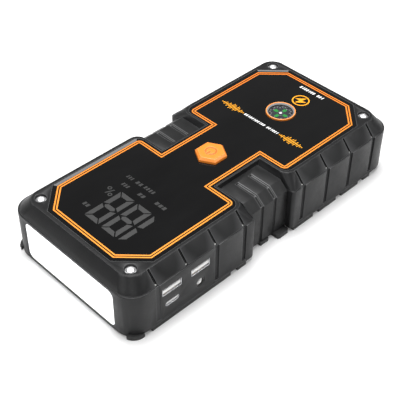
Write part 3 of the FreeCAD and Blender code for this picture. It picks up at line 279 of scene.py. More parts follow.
    def settle(self, **values: object) -> None:
        """Sets constants or links on the shader.

        Args:
            **values: Input name with underscores for spaces, and its number, colour or socket.
        """
        for key, value in values.items():
            socket = self.shader.inputs[key.replace("_", " ")]
            if isinstance(value, bpy.types.NodeSocket):
                self.link(value, socket)
            elif isinstance(value, tuple) and len(value) == 3:
                socket.default_value = (*value, 1.0)
            else:
                socket.default_value = value


@dataclass(frozen=True)
class Moulded:
    """Moulded plastic or rubber: a fine grain, faint mottling and paler edges, partly rubbed pale by use and
    partly a painted highlight, strongest where an edge faces up.
    """

    name: str
    colour: tuple[float, float, float]
    worn_and_highlight: tuple[float, float, float]
    roughness: float = 0.5
    grain: float = 1700.0
    depth: float = 0.00004
    mottle: float = 0.25
    soften: float = 0.0003
    specular: float = 0.5
    edge_mask_reach: float = 0.0004

    def build(self) -> bpy.types.Material:
        """Makes the material."""
        g = Graph(self.name)
        patch = g.noise(38.0, 4.0, 0.6)
        dark = tuple(c * (1 - self.mottle) for c in self.colour)
        light = tuple(c * (1 + self.mottle) for c in self.colour)
        body = g.blend(g.span(patch, 0.3, 0.7), dark, light)
        # Paler edge colour: partly rubbed by use, partly a painted highlight on the edges.
        g.settle(Base_Color=g.blend(g.edges(self.edge_mask_reach), body, self.worn_and_highlight))
        scuff = g.noise(240.0, 5.0, 0.65)
        g.settle(Roughness=g.span(scuff, 0.25, 0.75, self.roughness - 0.07, self.roughness + 0.09))
        g.settle(Specular_IOR_Level=self.specular)
        grain = g.math("ADD", g.cells(self.grain), g.noise(self.grain * 2.2, 2.0))
        g.bump(grain, self.depth, 0.6, self.soften)
        return g.material


@dataclass(frozen=True)
class Metal:
    """Bare or plated metal with fine brushing or casting marks."""

    name: str
    colour: tuple[float, float, float]
    roughness: float = 0.25
    brushed: tuple[float, float, float] = (900.0, 900.0, 900.0)
    depth: float = 0.00001
    soften: float = 0.00015

    def build(self) -> bpy.types.Material:
        """Makes the material."""
        g = Graph(self.name)
        lines = g.noise(1.0, 3.0, 0.6, g.stretched(self.brushed))
        dull = tuple(c * 0.82 for c in self.colour)
        g.settle(Base_Color=g.blend(g.span(lines, 0.3, 0.7), dull, self.colour), Metallic=1.0)
        g.settle(Roughness=g.span(g.noise(300.0, 4.0), 0.3, 0.7, self.roughness * 0.8, self.roughness * 1.3))
        g.bump(lines, self.depth, 0.5, self.soften)
        return g.material


@dataclass(frozen=True)
class BlackGlass:
    """The glossy top panel: near black, with the faintest dust and smear."""

    name: str = "black_glass"
    colour: tuple[float, float, float] = (0.0035, 0.0035, 0.0037)
    haze: tuple[float, float, float] = (0.0055, 0.0055, 0.0058)

    def build(self) -> bpy.types.Material:
        """Makes the material."""
        g = Graph(self.name)
        smear = g.noise(14.0, 5.0, 0.6, g.stretched((1.0, 2.4, 1.0)))
        dust = g.span(g.noise(2600.0, 1.0), 0.74, 0.8, 0.0, 0.5)
        body = g.blend(g.span(smear, 0.35, 0.7), self.colour, self.haze)
        g.settle(Base_Color=g.blend(dust, body, (0.014, 0.014, 0.015)))
        g.settle(Roughness=g.span(smear, 0.3, 0.7, 0.09, 0.17), Specular_IOR_Level=0.25)
        g.bump(g.noise(90.0, 2.0), 0.000012, 0.3, 0.0003)
        return g.material


@dataclass(frozen=True)
class Printed:
    """Screen-printed ink with a soft ink texture, brighter towards the lamp and charging corner: a painted
    light-and-shade gradient from its near colour to its far one.
    """

    name: str
    near: tuple[float, float, float]
    far: tuple[float, float, float]
    glow: float = 0.0
    roughness: float = 0.4

    def build(self) -> bpy.types.Material:
        """Makes the material."""
        g = Graph(self.name)
        # Painted shade: the colour runs from near to far across the panel, along X plus 1.6 Y, as light
        # falls across it.
        along = g.math("ADD", g.axis("X"), g.math("MULTIPLY", g.axis("Y"), 1.6))
        spread = CAD_HIGH.x + CAD_HIGH.y
        shade = g.span(along, -spread * 0.9, spread * 0.9)
        ink = g.noise(1500.0, 3.0, 0.6)
        base = g.blend(shade, self.near, self.far)
        thin = tuple(c * 0.86 for c in self.far)
        colour = g.blend(g.span(ink, 0.55, 0.85, 0.0, 0.35), base, thin)
        rough = g.span(ink, 0.3, 0.7, self.roughness - 0.05, self.roughness + 0.1)
        g.settle(Base_Color=colour, Roughness=rough)
        # Emission here is a painted glow: the ink is no lamp.
        if self.glow > 0:
            g.settle(Emission_Color=colour, Emission_Strength=self.glow)
        g.bump(ink, 0.000006, 0.4)
        return g.material


@dataclass(frozen=True)
class OpalLamp:
    """The lamp's white diffuser, lit, with a faint prism texture over its LEDs."""

    name: str = "opal_lamp"
    colour: tuple[float, float, float] = (0.95, 0.96, 0.97)
    glow: float = 0.75

    def build(self) -> bpy.types.Material:
        """Makes the material."""
        g = Graph(self.name)
        pool = g.noise(60.0, 2.0)
        body = g.blend(g.span(pool, 0.3, 0.7), tuple(c * 0.96 for c in self.colour), self.colour)
        g.settle(Base_Color=body, Roughness=0.32, Emission_Color=body, Emission_Strength=self.glow)
        prisms = g.cells(700.0)
        g.bump(prisms, 0.00005, 0.4, 0.0003)
        return g.material


@dataclass(frozen=True)
class ClearCover:
    """A thin clear window, as a mostly see-through gloss skin."""

    name: str = "clear_cover"
    alpha: float = 0.1

    def build(self) -> bpy.types.Material:
        """Makes the material."""
        g = Graph(self.name)
        haze = g.noise(200.0, 4.0)
        g.settle(Base_Color=g.blend(haze, (0.02, 0.02, 0.021), (0.03, 0.03, 0.031)), Alpha=self.alpha)
        g.settle(Roughness=g.span(haze, 0.3, 0.7, 0.02, 0.06), Specular_IOR_Level=0.5)
        return g.material


@dataclass(frozen=True)
class Board:
    """A circuit board: green mask with faint copper tracks beneath."""

    name: str = "circuit_board"

    def build(self) -> bpy.types.Material:
        """Makes the material."""
        g = Graph(self.name)
        brick = g.node("ShaderNodeTexBrick", offset=0.3)
        brick.inputs["Scale"].default_value = 260.0
        brick.inputs["Mortar Size"].default_value = 0.03
        brick.inputs["Color1"].default_value = (0.012, 0.09, 0.045, 1.0)
        brick.inputs["Color2"].default_value = (0.016, 0.11, 0.055, 1.0)
        brick.inputs["Mortar"].default_value = (0.03, 0.16, 0.08, 1.0)
        g.link(g.places(), brick.inputs["Vector"])
        g.settle(Base_Color=brick.outputs["Color"], Roughness=0.35)
        g.bump(brick.outputs["Fac"], 0.00002, 0.5)
        return g.material


class Finishes:
    """Every finish of the pack, built once and handed out by the record's slot."""

    def __init__(self) -> None:
        """Builds the materials."""
        case = (0.0105, 0.0107, 0.0112)
        # Paler edge colour of the case: partly rubbed by use, partly a painted highlight.
        worn_and_highlight = (0.13, 0.131, 0.134)
        self.by_slot: dict[str, bpy.types.Material] = {
            "case": Moulded("case_plastic", case, worn_and_highlight, 0.4, specular=0.24).build(),
            "grip": Moulded("grip_rubber", (0.0115, 0.0117, 0.012), (0.07, 0.071, 0.073), 0.46,
                            grain=1300.0, depth=0.00006, specular=0.26).build(),
            "panel": BlackGlass().build(),
            "tape": Moulded("tape_foam", (0.02, 0.02, 0.02), (0.03, 0.03, 0.03), 0.8).build(),
            # The orange line's fourth number is a painted glow, though printed ink is no lamp.
            "orange_line": Printed("orange_line", (0.95, 0.33, 0.02), (0.8, 0.2, 0.012), 0.06).build(),
            "orange_cap": Moulded("orange_cap", (0.95, 0.27, 0.028), (1.0, 0.5, 0.2), 0.33,
                                  mottle=0.05, depth=0.00002).build(),
            "symbol": Moulded("symbol_ink", (0.86, 0.15, 0.01), (0.9, 0.2, 0.02), 0.45, mottle=0.1).build(),
            "silicone": Moulded("silicone", (0.55, 0.55, 0.53), (0.65, 0.65, 0.62), 0.5).build(),
            "black_part": Moulded("black_part", (0.02, 0.02, 0.02), (0.05, 0.05, 0.05), 0.4).build(),
            "clear": ClearCover().build(),
            "dial": Moulded("dial_face", (0.03, 0.036, 0.045), (0.08, 0.09, 0.1), 0.4, mottle=0.35,
                            grain=900.0).build(),
            "steel": Metal("bright_steel", (0.72, 0.72, 0.74), 0.26, (500.0, 4000.0, 500.0)).build(),
            "chrome": Metal("screw_chrome", (0.93, 0.93, 0.94), 0.46, (2500.0, 2500.0, 300.0)).build(),
            "brass": Metal("brass", (0.76, 0.55, 0.24), 0.3).build(),
            "rubber": Moulded("skid_rubber", (0.014, 0.014, 0.0145), (0.035, 0.035, 0.036), 0.6,
                              grain=1200.0, depth=0.00006).build(),
            "lamp_white": OpalLamp().build(),
            "white_part": Moulded("white_part", (0.72, 0.73, 0.74), (0.85, 0.85, 0.85), 0.35,
                                  mottle=0.05).build(),
            "circuit": Board().build(),
            "led": Moulded("led_phosphor", (0.9, 0.72, 0.2), (1.0, 0.9, 0.5), 0.35).build(),
            "cell_pouch": Metal("cell_pouch", (0.6, 0.61, 0.63), 0.42, (200.0, 200.0, 200.0)).build(),
            "foam": Moulded("pad_foam", (0.06, 0.06, 0.065), (0.09, 0.09, 0.09), 0.85,
                            depth=0.0001).build(),
            "socket_blue": Moulded("socket_blue", (0.02, 0.07, 0.3), (0.08, 0.16, 0.42), 0.4).build(),
        }

        self.figure_grey = Printed("figure_grey", (0.031, 0.031, 0.031), (0.027, 0.027, 0.027)).build()
        self.mark_grey = Printed("mark_grey", (0.026, 0.026, 0.026), (0.022, 0.022, 0.022)).build()
        # The yellow traces, white marks, orange badge and green arms get a painted glow through their fourth
        # number, though printed ink is no lamp.
        self.trace_yellow = Printed("trace_yellow", (1.0, 0.46, 0.012), (1.0, 0.40, 0.01), 0.15).build()
        self.mark_white = Printed("mark_white", (0.9, 0.9, 0.9), (0.85, 0.85, 0.85), 0.12).build()
        self.badge_orange = Printed("badge_orange", (0.95, 0.42, 0.01), (0.92, 0.38, 0.008), 0.1).build()
        self.tick_grey = Printed("tick_grey", (0.33, 0.34, 0.35), (0.3, 0.31, 0.32)).build()
        self.arm_green = Printed("arm_green", (0.025, 0.34, 0.05), (0.02, 0.3, 0.045), 0.12).build()
        # A painted reflection: pale grey for the strips where the glass margin would reflect light.
        self.painted_reflection_grey = Printed("painted_reflection_grey", (0.13, 0.13, 0.132), (0.19, 0.19, 0.192), 0.0, 0.3).build()
        # Painted highlights: pale colours for the upward rounded edges of the case and grips, standing in
        # for light catching them.
        self.case_edge = Moulded("case_edge", (0.15, 0.151, 0.154), (0.2, 0.2, 0.2), 0.34).build()
        self.grip_edge = Moulded("grip_edge", (0.11, 0.111, 0.113), (0.15, 0.15, 0.15), 0.36).build()
        self.bright_tin = Moulded("bright_tin", (0.72, 0.72, 0.71), (0.9, 0.9, 0.9), 0.3, mottle=0.04,
                                  depth=0.00001, soften=0.0001, specular=0.8).build()

    def dress_nodes(self) -> None:
        """Gives each CAD node the material of its slot."""
        for part in frame["record"]["subparts"]:
            mesh = frame["nodes"][part["node"]].data
            mesh.materials.clear()
            mesh.materials.append(self.by_slot[part["material_slot"]])
        LOG.info("dressed %d CAD nodes", len(frame["nodes"]))


# ------------------------------------------------------------------ stage


@dataclass
class Studio:
    """A pale sweep of floor, soft lights and the camera."""

    azimuth: float = -44.58
    elevation: float = 41.66
    roll: float = 0.49
    distance: float = 509.3 * MM
    aim: tuple[float, float, float] = (-2.52 * MM, 5.29 * MM, 0.0)
    lens: float = 83.529
    sensor: float = 36.0
    lit_point: tuple[float, float, float] = (0.0, 0.0, 20.0 * MM)
    room_light: float = 0.3
    floor_side: float = 12.0

    def back(self) -> Vector:
        """Direction from the pack to the camera."""
        turn, rise = math.radians(self.azimuth), math.radians(self.elevation)
        return Vector((math.sin(turn) * math.cos(rise), -math.cos(turn) * math.cos(rise), math.sin(rise)))

    def camera(self) -> None:
        """Places the camera."""
        data = bpy.data.cameras.new("camera")
        data.sensor_width = self.sensor
        data.lens = self.lens
        data.clip_start = 0.01
        data.clip_end = 20.0
        holder = bpy.data.objects.new("camera", data)
        bpy.context.scene.collection.objects.link(holder)
        back = self.back()
        turn = (-back).to_track_quat("-Z", "Y").to_matrix().to_4x4()
        spin = Matrix.Rotation(math.radians(self.roll), 4, "Z")
        holder.matrix_world = Matrix.Translation(Vector(self.aim) + back * self.distance) @ turn @ spin
        bpy.context.scene.camera = holder

    def lamp(self, name: str, place: tuple[float, float, float], size: float, power: float) -> None:
        """Adds a soft area light that faces the pack.

        Args:
            name: Its name.
            place: Where it stands, in metres.
            size: Side of its square face.
            power: Watts.
        """
        data = bpy.data.lights.new(name, "AREA")
        data.size = size
        data.energy = power
        holder = bpy.data.objects.new(name, data)
        holder.location = place
        aim = Vector(self.lit_point) - Vector(place)
        holder.rotation_mode = "QUATERNION"
        holder.rotation_quaternion = aim.to_track_quat("-Z", "Y")
        bpy.context.scene.collection.objects.link(holder)

    def floor(self) -> None:
        """Lays the floor under the pack."""
        clear_selection()
        bpy.ops.mesh.primitive_plane_add(size=self.floor_side, location=(0.0, 0.0, 0.0))
        sheet = bpy.context.object
        sheet.name = "floor"
        g = Graph("floor_paper")
        shade = g.noise(3.0, 2.0)
        g.settle(Base_Color=g.blend(shade, (0.9, 0.9, 0.9), (0.93, 0.93, 0.93)), Roughness=0.85,
                 Specular_IOR_Level=0.1)
        sheet.data.materials.append(g.material)

    def world(self) -> None:
        """Fills the room with soft light."""
        world = bpy.data.worlds.new("room")
        world.use_nodes = True
        ground = world.node_tree.nodes["Background"]
        ground.inputs["Color"].default_value = (1.0, 1.0, 1.0, 1.0)
        ground.inputs["Strength"].default_value = self.room_light
        bpy.context.scene.world = world
        bpy.context.scene.view_settings.view_transform = "Standard"

    def build(self) -> None:
        """Sets the whole stage."""
        self.camera()
        self.world()
        self.floor()
        self.lamp("overhead", (0.15, 0.25, 1.6), 0.9, 32.0)
        self.lamp("front_right", (0.9, -1.2, 1.1), 0.8, 8.0)
        self.lamp("left_rim", (-1.3, 0.1, 0.9), 0.6, 5.0)
        self.lamp("front_left", (-0.85, -0.85, 1.15), 0.3, 3.0)
        LOG.info("set the stage")


# ------------------------------------------------------------------ bench: modelling with operators


class Pick(Enum):
    """What a selection in edit mode is made of."""

    VERTS = (True, False, False)
    EDGES = (False, True, False)
    FACES = (False, False, True)


Test = Callable[[Vector, Vector], bool]
Outline = Sequence[tuple[float, float]]


def clear_selection() -> None:
    """Leaves edit mode and deselects every object."""
    if bpy.context.object is not None and bpy.context.object.mode != "OBJECT":
        bpy.ops.object.mode_set(mode="OBJECT")
    bpy.ops.object.select_all(action="DESELECT")


def hold(piece: bpy.types.Object) -> None:
    """Makes a piece the only one selected, and active."""
    clear_selection()
    piece.select_set(True)
    bpy.context.view_layer.objects.active = piece


def settle_place(piece: bpy.types.Object, name: str) -> bpy.types.Object:
    """Names a new primitive and puts its place and size into its mesh.

    Args:
        piece: The new object.
        name: Its name.

    Returns:
        The same object.
    """
    piece.name = name
    piece.data.name = name
    hold(piece)
    bpy.ops.object.transform_apply(location=True, rotation=True, scale=True)
    return piece


def choose(piece: bpy.types.Object, kind: Pick, test: Test) -> None:
    """Selects what passes a test, in edit mode, and nothing else.

    Args:
        piece: The piece being edited.
        kind: What is selected.
        test: Takes the middle of a vertex, edge or face, and its normal (an edge's direction).
    """
    bpy.context.tool_settings.mesh_select_mode = kind.value
    shape = bmesh.from_edit_mesh(piece.data)
    for group in (shape.faces, shape.edges, shape.verts):
        for part in group:
            part.select_set(False)
    if kind is Pick.VERTS:
        found = [(v, v.co, v.normal) for v in shape.verts]
    elif kind is Pick.EDGES:
        found = [(e, (e.verts[0].co + e.verts[1].co) / 2, (e.verts[1].co - e.verts[0].co).normalized())
                 for e in shape.edges]
    else:
        found = [(f, f.calc_center_median(), f.normal) for f in shape.faces]
    for part, middle, normal in found:
        if test(middle, normal):
            part.select_set(True)
    bmesh.update_edit_mesh(piece.data)


def open_mesh(piece: bpy.types.Object) -> None:
    """Opens a piece in edit mode with all of it selected."""
    hold(piece)
    bpy.ops.object.mode_set(mode="EDIT")
    bpy.ops.mesh.select_all(action="SELECT")


def raise_by(height: float) -> None:
    """Extrudes the selection in edit mode straight up."""
    bpy.ops.mesh.extrude_region_move(TRANSFORM_OT_translate={"value": (0.0, 0.0, height)})


def shift(offset: Sequence[float]) -> None:
    """Moves the selection in edit mode."""
    bpy.ops.transform.translate(value=offset)


def grow(factor: Sequence[float], centre: Sequence[float]) -> None:
    """Scales the selection in edit mode about a centre."""
    bpy.ops.transform.resize(value=factor, center_override=centre)


def finish_mesh(piece: bpy.types.Object, angle: float = 32.0) -> None:
    """Merges doubles, turns the faces outwards and smooths below an angle in degrees."""
    open_mesh(piece)
    bpy.ops.mesh.remove_doubles(threshold=SAME_PLACE)
    bpy.ops.mesh.normals_make_consistent(inside=False)
    bpy.ops.object.mode_set(mode="OBJECT")
    bpy.ops.object.shade_smooth_by_angle(angle=math.radians(angle))


def bevelled(piece: bpy.types.Object, width: float, segments: int, lit: Test | None) -> list[int]:
    """Rounds a piece's sharp edges with a bevel modifier, and applies it.

    Args:
        piece: The piece.
        width: Width of the rounding, in metres.
        segments: Steps across it.
        lit: Takes a face's middle and normal, and says whether a rounding's face gets the painted highlight.

    Returns:
        The numbers of the faces that get the painted highlight.
    """
    hold(piece)
    slots = piece.data.materials
    while len(slots) < 2:
        slots.append(None)
    rounding = piece.modifiers.new("rounding", "BEVEL")
    rounding.material = 1
    rounding.width = width
    rounding.segments = segments
    rounding.limit_method = "ANGLE"
    rounding.angle_limit = math.radians(SHARP_ANGLE)
    bpy.ops.object.modifier_apply(modifier=rounding.name)
    if lit is None:
        return []
    return [face.index for face in piece.data.polygons
            if face.material_index == 1 and lit(face.center, face.normal)]


def block(name: str, low: Sequence[float], high: Sequence[float]) -> bpy.types.Object:
    """Adds a box between two corners.

    Args:
        name: Its name.
        low: Lowest corner, in metres.
        high: Highest corner, in metres.

    Returns:
        The new object.
    """
    clear_selection()
    low, high = Vector(low), Vector(high)
    bpy.ops.mesh.primitive_cube_add(size=1.0, location=(low + high) / 2, scale=high - low)
    return settle_place(bpy.context.object, name)


def plate(name: str, outline: Outline, low: float, high: float) -> bpy.types.Object:
    """Makes a thin plate of any outline, lying flat.

    Args:
        name: Its name.
        outline: Its corners in X and Y, in metres, anticlockwise.
        low: Height of its underside.
        high: Height of its top.

    Returns:
        The new object.
    """
    clear_selection()
    bpy.ops.mesh.primitive_circle_add(vertices=len(outline), radius=0.001, fill_type="NGON")
    made = settle_place(bpy.context.object, name)
    bpy.ops.object.mode_set(mode="EDIT")
    starts = [vertex.co.copy() for vertex in bmesh.from_edit_mesh(made.data).verts]
    for start, (x, y) in zip(starts, outline):
        target = Vector((x, y, low))
        choose(made, Pick.VERTS, lambda place, _: (place - start).length < 1e-7)
        shift(target - start)
    bpy.ops.mesh.select_all(action="SELECT")
    raise_by(high - low)
    finish_mesh(made)
    return made


def turned(name: str, centre: Sequence[float], profile: Outline, sides: int = 48,
           hollow: bool = False) -> bpy.types.Object:
    """Makes a round piece by raising a disc, or a ring, through the steps of a profile.

    Args:
        name: Its name.
        centre: X and Y of its axis, in metres.
        profile: Radius and height of each step, from the bottom up; the last one is its top.
        sides: Corners of the disc.
        hollow: Whether it is a ring, whose last step comes back to its first.

    Returns:
        The new object.
    """
    clear_selection()
    radius, height = profile[0]
    fill = "NOTHING" if hollow else "NGON"
    bpy.ops.mesh.primitive_circle_add(vertices=sides, radius=radius, fill_type=fill,
                                      location=(centre[0], centre[1], height))
    made = settle_place(bpy.context.object, name)
    open_mesh(made)
    for step_radius, step_height in profile[1:]:
        raise_by(step_height - height)
        ratio = step_radius / radius
        grow((ratio, ratio, 1.0), (centre[0], centre[1], step_height))
        radius, height = step_radius, step_height
    finish_mesh(made)
    return made


def duplicate(piece: bpy.types.Object, name: str, place: Matrix) -> bpy.types.Object:
    """Copies a piece with its own mesh and puts the copy somewhere else.

    Args:
        piece: The piece to copy.
        name: The copy's name.
        place: Where it goes, from where the original is.

    Returns:
        The copy.
    """
    twin = piece.copy()
    twin.data = piece.data.copy()
    bpy.context.scene.collection.objects.link(twin)
    twin.matrix_world = place @ twin.matrix_world
    return settle_place(twin, name)


def spun(first: bpy.types.Object, name: str, centre: Vector, count: int) -> list[bpy.types.Object]:
    """Repeats a piece evenly round an upright axis.

    Args:
        first: The piece, which is left where it is.
        name: Start of the copies' names.
        centre: The axis, in X and Y.
        count: How many places there are in a full turn, with the first one's.

    Returns:
        The piece and its copies.
    """
    there = Matrix.Translation((centre.x, centre.y, 0.0))
    made = [first]
    for i in range(1, count):
        turn = Matrix.Rotation(math.tau * i / count, 4, "Z")
        made.append(duplicate(first, f"{name}_{i}", there @ turn @ there.inverted()))
    return made


def joined(name: str, pieces: Sequence[bpy.types.Object]) -> bpy.types.Object:
    """Joins pieces into one.

    Args:
        name: The name of the result.
        pieces: What is joined, the first of which is kept.

    Returns:
        The joined object.
    """
    hold(pieces[0])
    for piece in pieces:
        piece.select_set(True)
    bpy.ops.object.join()
    made = bpy.context.object
    made.name = name
    made.data.name = name
    return made


def merged_copy(name: str, node: str) -> bpy.types.Object:
    """Copies a CAD node's mesh as a new piece, with its corners merged and its flats made whole.

    Args:
        name: The copy's name.
        node: The CAD node.

    Returns:
        The new object.
    """
    mesh = frame["nodes"][node].data.copy()
    made = bpy.data.objects.new(name, mesh)
    mesh.name = name
    bpy.context.scene.collection.objects.link(made)
    open_mesh(made)
    bpy.ops.mesh.remove_doubles(threshold=SAME_PLACE)
    bpy.ops.mesh.dissolve_limited(angle_limit=math.radians(FLAT_ANGLE))
    bpy.ops.object.mode_set(mode="OBJECT")
    return made


@dataclass
class Assembly:
    """A sub-assembly, with the shared steps that put its pieces on their body."""

    finishes: Finishes

    def fit(self, piece: bpy.types.Object, body: Body, slot: str, *nodes: str,
            finish: bpy.types.Material | None = None) -> bpy.types.Object:
        """Dresses a piece, sets it on its body and lets it stand for CAD nodes.

        Args:
            piece: The piece.
            body: The body that it rides on.
            slot: The record's material slot that it takes its finish from.
            *nodes: CAD nodes that it stands for.
            finish: Its material, or None for the slot's own.

        Returns:
            The same piece.
        """
        piece.data.materials.clear()
        piece.data.materials.append(finish or self.finishes.by_slot[slot])
        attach(piece, body.value)
        if nodes:
            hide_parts(*nodes)
        LOG.info("made %s, %d faces", piece.name, len(piece.data.polygons))
        return piece

    def softened(self, name: str, node: str, width: float, body: Body, slot: str, segments: int = 2,
                 lit: Test | None = None, highlight_finish: bpy.types.Material | None = None) -> bpy.types.Object:
        """Stands in for a CAD node with a copy whose edges are rounded.

        Args:
            name: The piece's name.
            node: The CAD node.
            width: Width of the rounding, in metres.
            body: The body that it rides on.
            slot: The record's material slot.
            segments: Steps across the rounding.
            lit: Which of the rounded edges get a painted highlight.
            highlight_finish: The finish of those edges.

        Returns:
            The piece.
        """
        piece = merged_copy(name, node)
        painted_highlight = bevelled(piece, width, segments, lit)
        hold(piece)
        bpy.ops.object.shade_smooth_by_angle(angle=math.radians(COPY_SMOOTH_ANGLE))
        self.fit(piece, body, slot, node)
        piece.data.polygons.foreach_set("material_index", [0] * len(piece.data.polygons))
        # The faces that the test picks get the paler finish, a painted highlight.
        if highlight_finish is not None:
            piece.data.materials.append(highlight_finish)
            for index in painted_highlight:
                piece.data.polygons[index].material_index = 1
        return piece


@dataclass
class Shells(Assembly):
    """The two halves of the case, their grips and skids, with moulded rounded edges, some given a painted
    highlight.
    """

    case_edge: float = 0.35 * MM
    grip_edge: float = 0.28 * MM
    skid_edge: float = 0.3 * MM
    margin: float = 1.2 * MM

    def rim(self) -> Test:
        """Makes the test for the cover's edges that get a painted highlight where they face up: its outer
        rim, the waist blocks, the joint line.

        Returns:
            A test of a face's middle and normal.
        """
        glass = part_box("glass_panel")[1]
        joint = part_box("lower_housing")[1].z
        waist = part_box("near_grip")[1].x + 2.5 * self.margin

        def painted_highlight(place: Vector, normal: Vector) -> bool:
            if not 0.25 < normal.z < 0.97:
                return False
            outside = abs(place.x) > glass.x + self.margin or abs(place.y) > glass.y + self.margin
            block = abs(place.x) < waist and place.z > joint + self.margin
            return outside or block or abs(place.z - joint) < self.margin

        return painted_highlight

    def groove(self) -> Test:
        """Makes the test for the mouths of the grooves in a grip pad, which get a painted highlight.

        Returns:
            A test of a face's middle and normal.
        """
        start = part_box("far_grip")[0].y + 3.0 * self.margin

        def painted_highlight(place: Vector, normal: Vector) -> bool:
            along = 2.0 * self.margin < abs(place.x) < 5.5 * self.margin
            return along and abs(place.y) > start and normal.z > 0.2

        return painted_highlight

    def build(self) -> None:
        """Makes the shells."""
        for name, node in (("housing_shell", "lower_housing"), ("cover_frame", "top_cover")):
            self.softened(name, node, self.case_edge, Body.PACK, "case", lit=self.rim(),
                          highlight_finish=self.finishes.case_edge)
        for side in ("near", "far"):
            self.softened(f"{side}_grip_pad", f"{side}_grip", self.grip_edge, Body.PACK, "grip",
                          lit=self.groove(), highlight_finish=self.finishes.grip_edge)
            self.softened(f"{side}_skid_strip", f"{side}_skid", self.skid_edge, Body.PACK, "rubber")


@dataclass
class PanelPrint(Assembly):
    """What is printed on the glass, and what the display shows through it."""

    ink: float = 0.03 * MM
    digit_wide: float = 10.3 * MM
    digit_high: float = 24.0 * MM
    digit_foot: float = -53.0 * MM
    bar: float = 2.7 * MM
    gap: float = 0.45 * MM
    digit_places: tuple[tuple[str, float], ...] = (("1", -25.3 * MM), ("8", -13.0 * MM), ("8", -0.5 * MM))
    wave_x: float = 38.5 * MM
    wave_from: float = 13.5 * MM
    wave_step: float = 1.12 * MM
    wave_heights: tuple[float, ...] = (
        0.5, 0.9, 1.6, 0.9, 2.3, 3.2, 1.9, 3.0, 3.4, 1.6, 2.5, 1.1, 1.8, 0.9, 0.5)
    badge_at: tuple[float, float] = (70.3 * MM, -0.8 * MM)
    badge_r: float = 5.0 * MM
    badge_line: float = 0.75 * MM
    strip_x: tuple[float, float] = (-73.8 * MM, -20.6 * MM)
    strip_y: tuple[float, float] = (35.45 * MM, 37.3 * MM)
    strip_cut: tuple[tuple[float, float], ...] = ((74.4 * MM, 35.7 * MM), (86.7 * MM, 23.4 * MM))
    strip_out: float = 1.9 * MM
    wave_half: float = 0.27 * MM
    wave_reach: float = 0.84 * MM
    small_rows: tuple[tuple[float, float, int, float], ...] = (
        (12.6, 17.6, 2, 1.5), (-1.6, -6.2, 2, 1.7), (9.6, -5.6, 3, 1.0), (-2.6, -11.8, 4, 1.2),
        (6.0, -11.4, 2, 1.6), (12.6, -11.2, 3, 0.9), (-15.4, -7.8, 3, 1.9))

    def foot(self) -> float:
        """Height of the ink's underside, a hair above the glass."""
        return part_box("glass_panel")[1].z + 0.1 * self.ink

    def read(self, right: float, up: float) -> tuple[float, float]:
        """A place as the panel is read, with right along +Y and up along -X, from the digits' foot."""
        return (self.digit_foot - up, right)

    def mark(self, name: str, outline: Outline) -> bpy.types.Object:
        """One printed mark on the glass."""
        low = self.foot()
        return plate(name, outline, low, low + self.ink)

    def digit(self, name: str, figure: str, left: float) -> list[bpy.types.Object]:
        """Makes the mitred bars of one figure.

        Args:
            name: Start of the bars' names.
            figure: "8" for all seven bars, or "1" for the two at the right.
            left: Where its left side stands.

        Returns:
            Its bars.
        """
        w, h, t, g = self.digit_wide, self.digit_high, self.bar, self.gap
        half = h / 2
        right = [[(w, half + g), (w, h - g), (w - t, h - g - t), (w - t, half + g + t / 2)],
                 [(w, g), (w, half - g), (w - t, half - g - t / 2), (w - t, g + t)]]
        left_side = [[(w - u, v) for u, v in reversed(bar)] for bar in right]
        ends = [[(g, h), (t + g, h - t), (w - t - g, h - t), (w - g, h)],
                [(w - g, 0), (w - t - g, t), (t + g, t), (g, 0)]]
        middle = [[(g + t * 0.4, half), (t + g * 0.4, half - t / 2), (w - t - g * 0.4, half - t / 2),
                   (w - g - t * 0.4, half), (w - t - g * 0.4, half + t / 2), (t + g * 0.4, half + t / 2)]]
        bars = right if figure == "1" else right + left_side + ends + middle
        return [self.mark(f"{name}_{i}", [self.read(left + u, v) for u, v in bar])
                for i, bar in enumerate(bars)]

    def slash(self, name: str, right: float, up: float, wide: float, high: float,
              lean: float) -> bpy.types.Object:
        """A leaning bar, as the panel is read."""
        top = up + high
        corners = ((right, up), (right + wide, up), (right + wide + lean, top), (right + lean, top))
        return self.mark(name, [self.read(*corner) for corner in corners])

    def ring(self, name: str, at: tuple[float, float], outer: float, inner: float,
             sides: int = 40) -> bpy.types.Object:
        """A flat printed ring.

        Args:
            name: Its name.
            at: Its centre.
            outer: Its outer radius.
            inner: Its inner radius.
            sides: Corners round it.

        Returns:
            The ring.
        """
        clear_selection()
        bpy.ops.mesh.primitive_circle_add(vertices=sides, radius=outer, fill_type="NGON",
                                          location=(*at, self.foot()))
        made = settle_place(bpy.context.object, name)
        open_mesh(made)
        bpy.ops.mesh.inset(thickness=outer - inner)
        bpy.ops.mesh.delete(type="FACE")
        bpy.ops.mesh.select_all(action="SELECT")
        raise_by(self.ink)
        finish_mesh(made)
        return made

    def display(self) -> None:
        """Makes the display's figures and the small marks beside them."""
        bars = []
        for i, (figure, left) in enumerate(self.digit_places):
            bars += self.digit(f"figure_{i}", figure, left)
        self.fit(joined("display_figures", bars), Body.PACK, "panel", finish=self.finishes.figure_grey)
        small = [self.slash("percent_bar", 12.6 * MM, 1.8 * MM, 0.8 * MM, 4.6 * MM, 2.0 * MM)]
        for i, (right, up) in enumerate(((12.2, 5.6), (16.0, 2.4))):
            at = self.read(right * MM, up * MM)
            small.append(self.ring(f"percent_dot_{i}", at, 1.25 * MM, 0.6 * MM, 20))
        for i, sizes in enumerate(self.small_marks()):
            small.append(self.slash(f"small_mark_{i}", *(size * MM for size in sizes), 0.35 * MM))
        self.fit(joined("display_marks", small), Body.PACK, "panel", finish=self.finishes.mark_grey)

    def small_marks(self) -> list[tuple[float, float, float, float]]:
        """Plain bars beside the figures: right, up, width and height in millimetres."""
        return [(start + i * (pitch + 0.7), up, pitch, 2.2) for start, up, count, pitch in self.small_rows
                for i in range(count)]

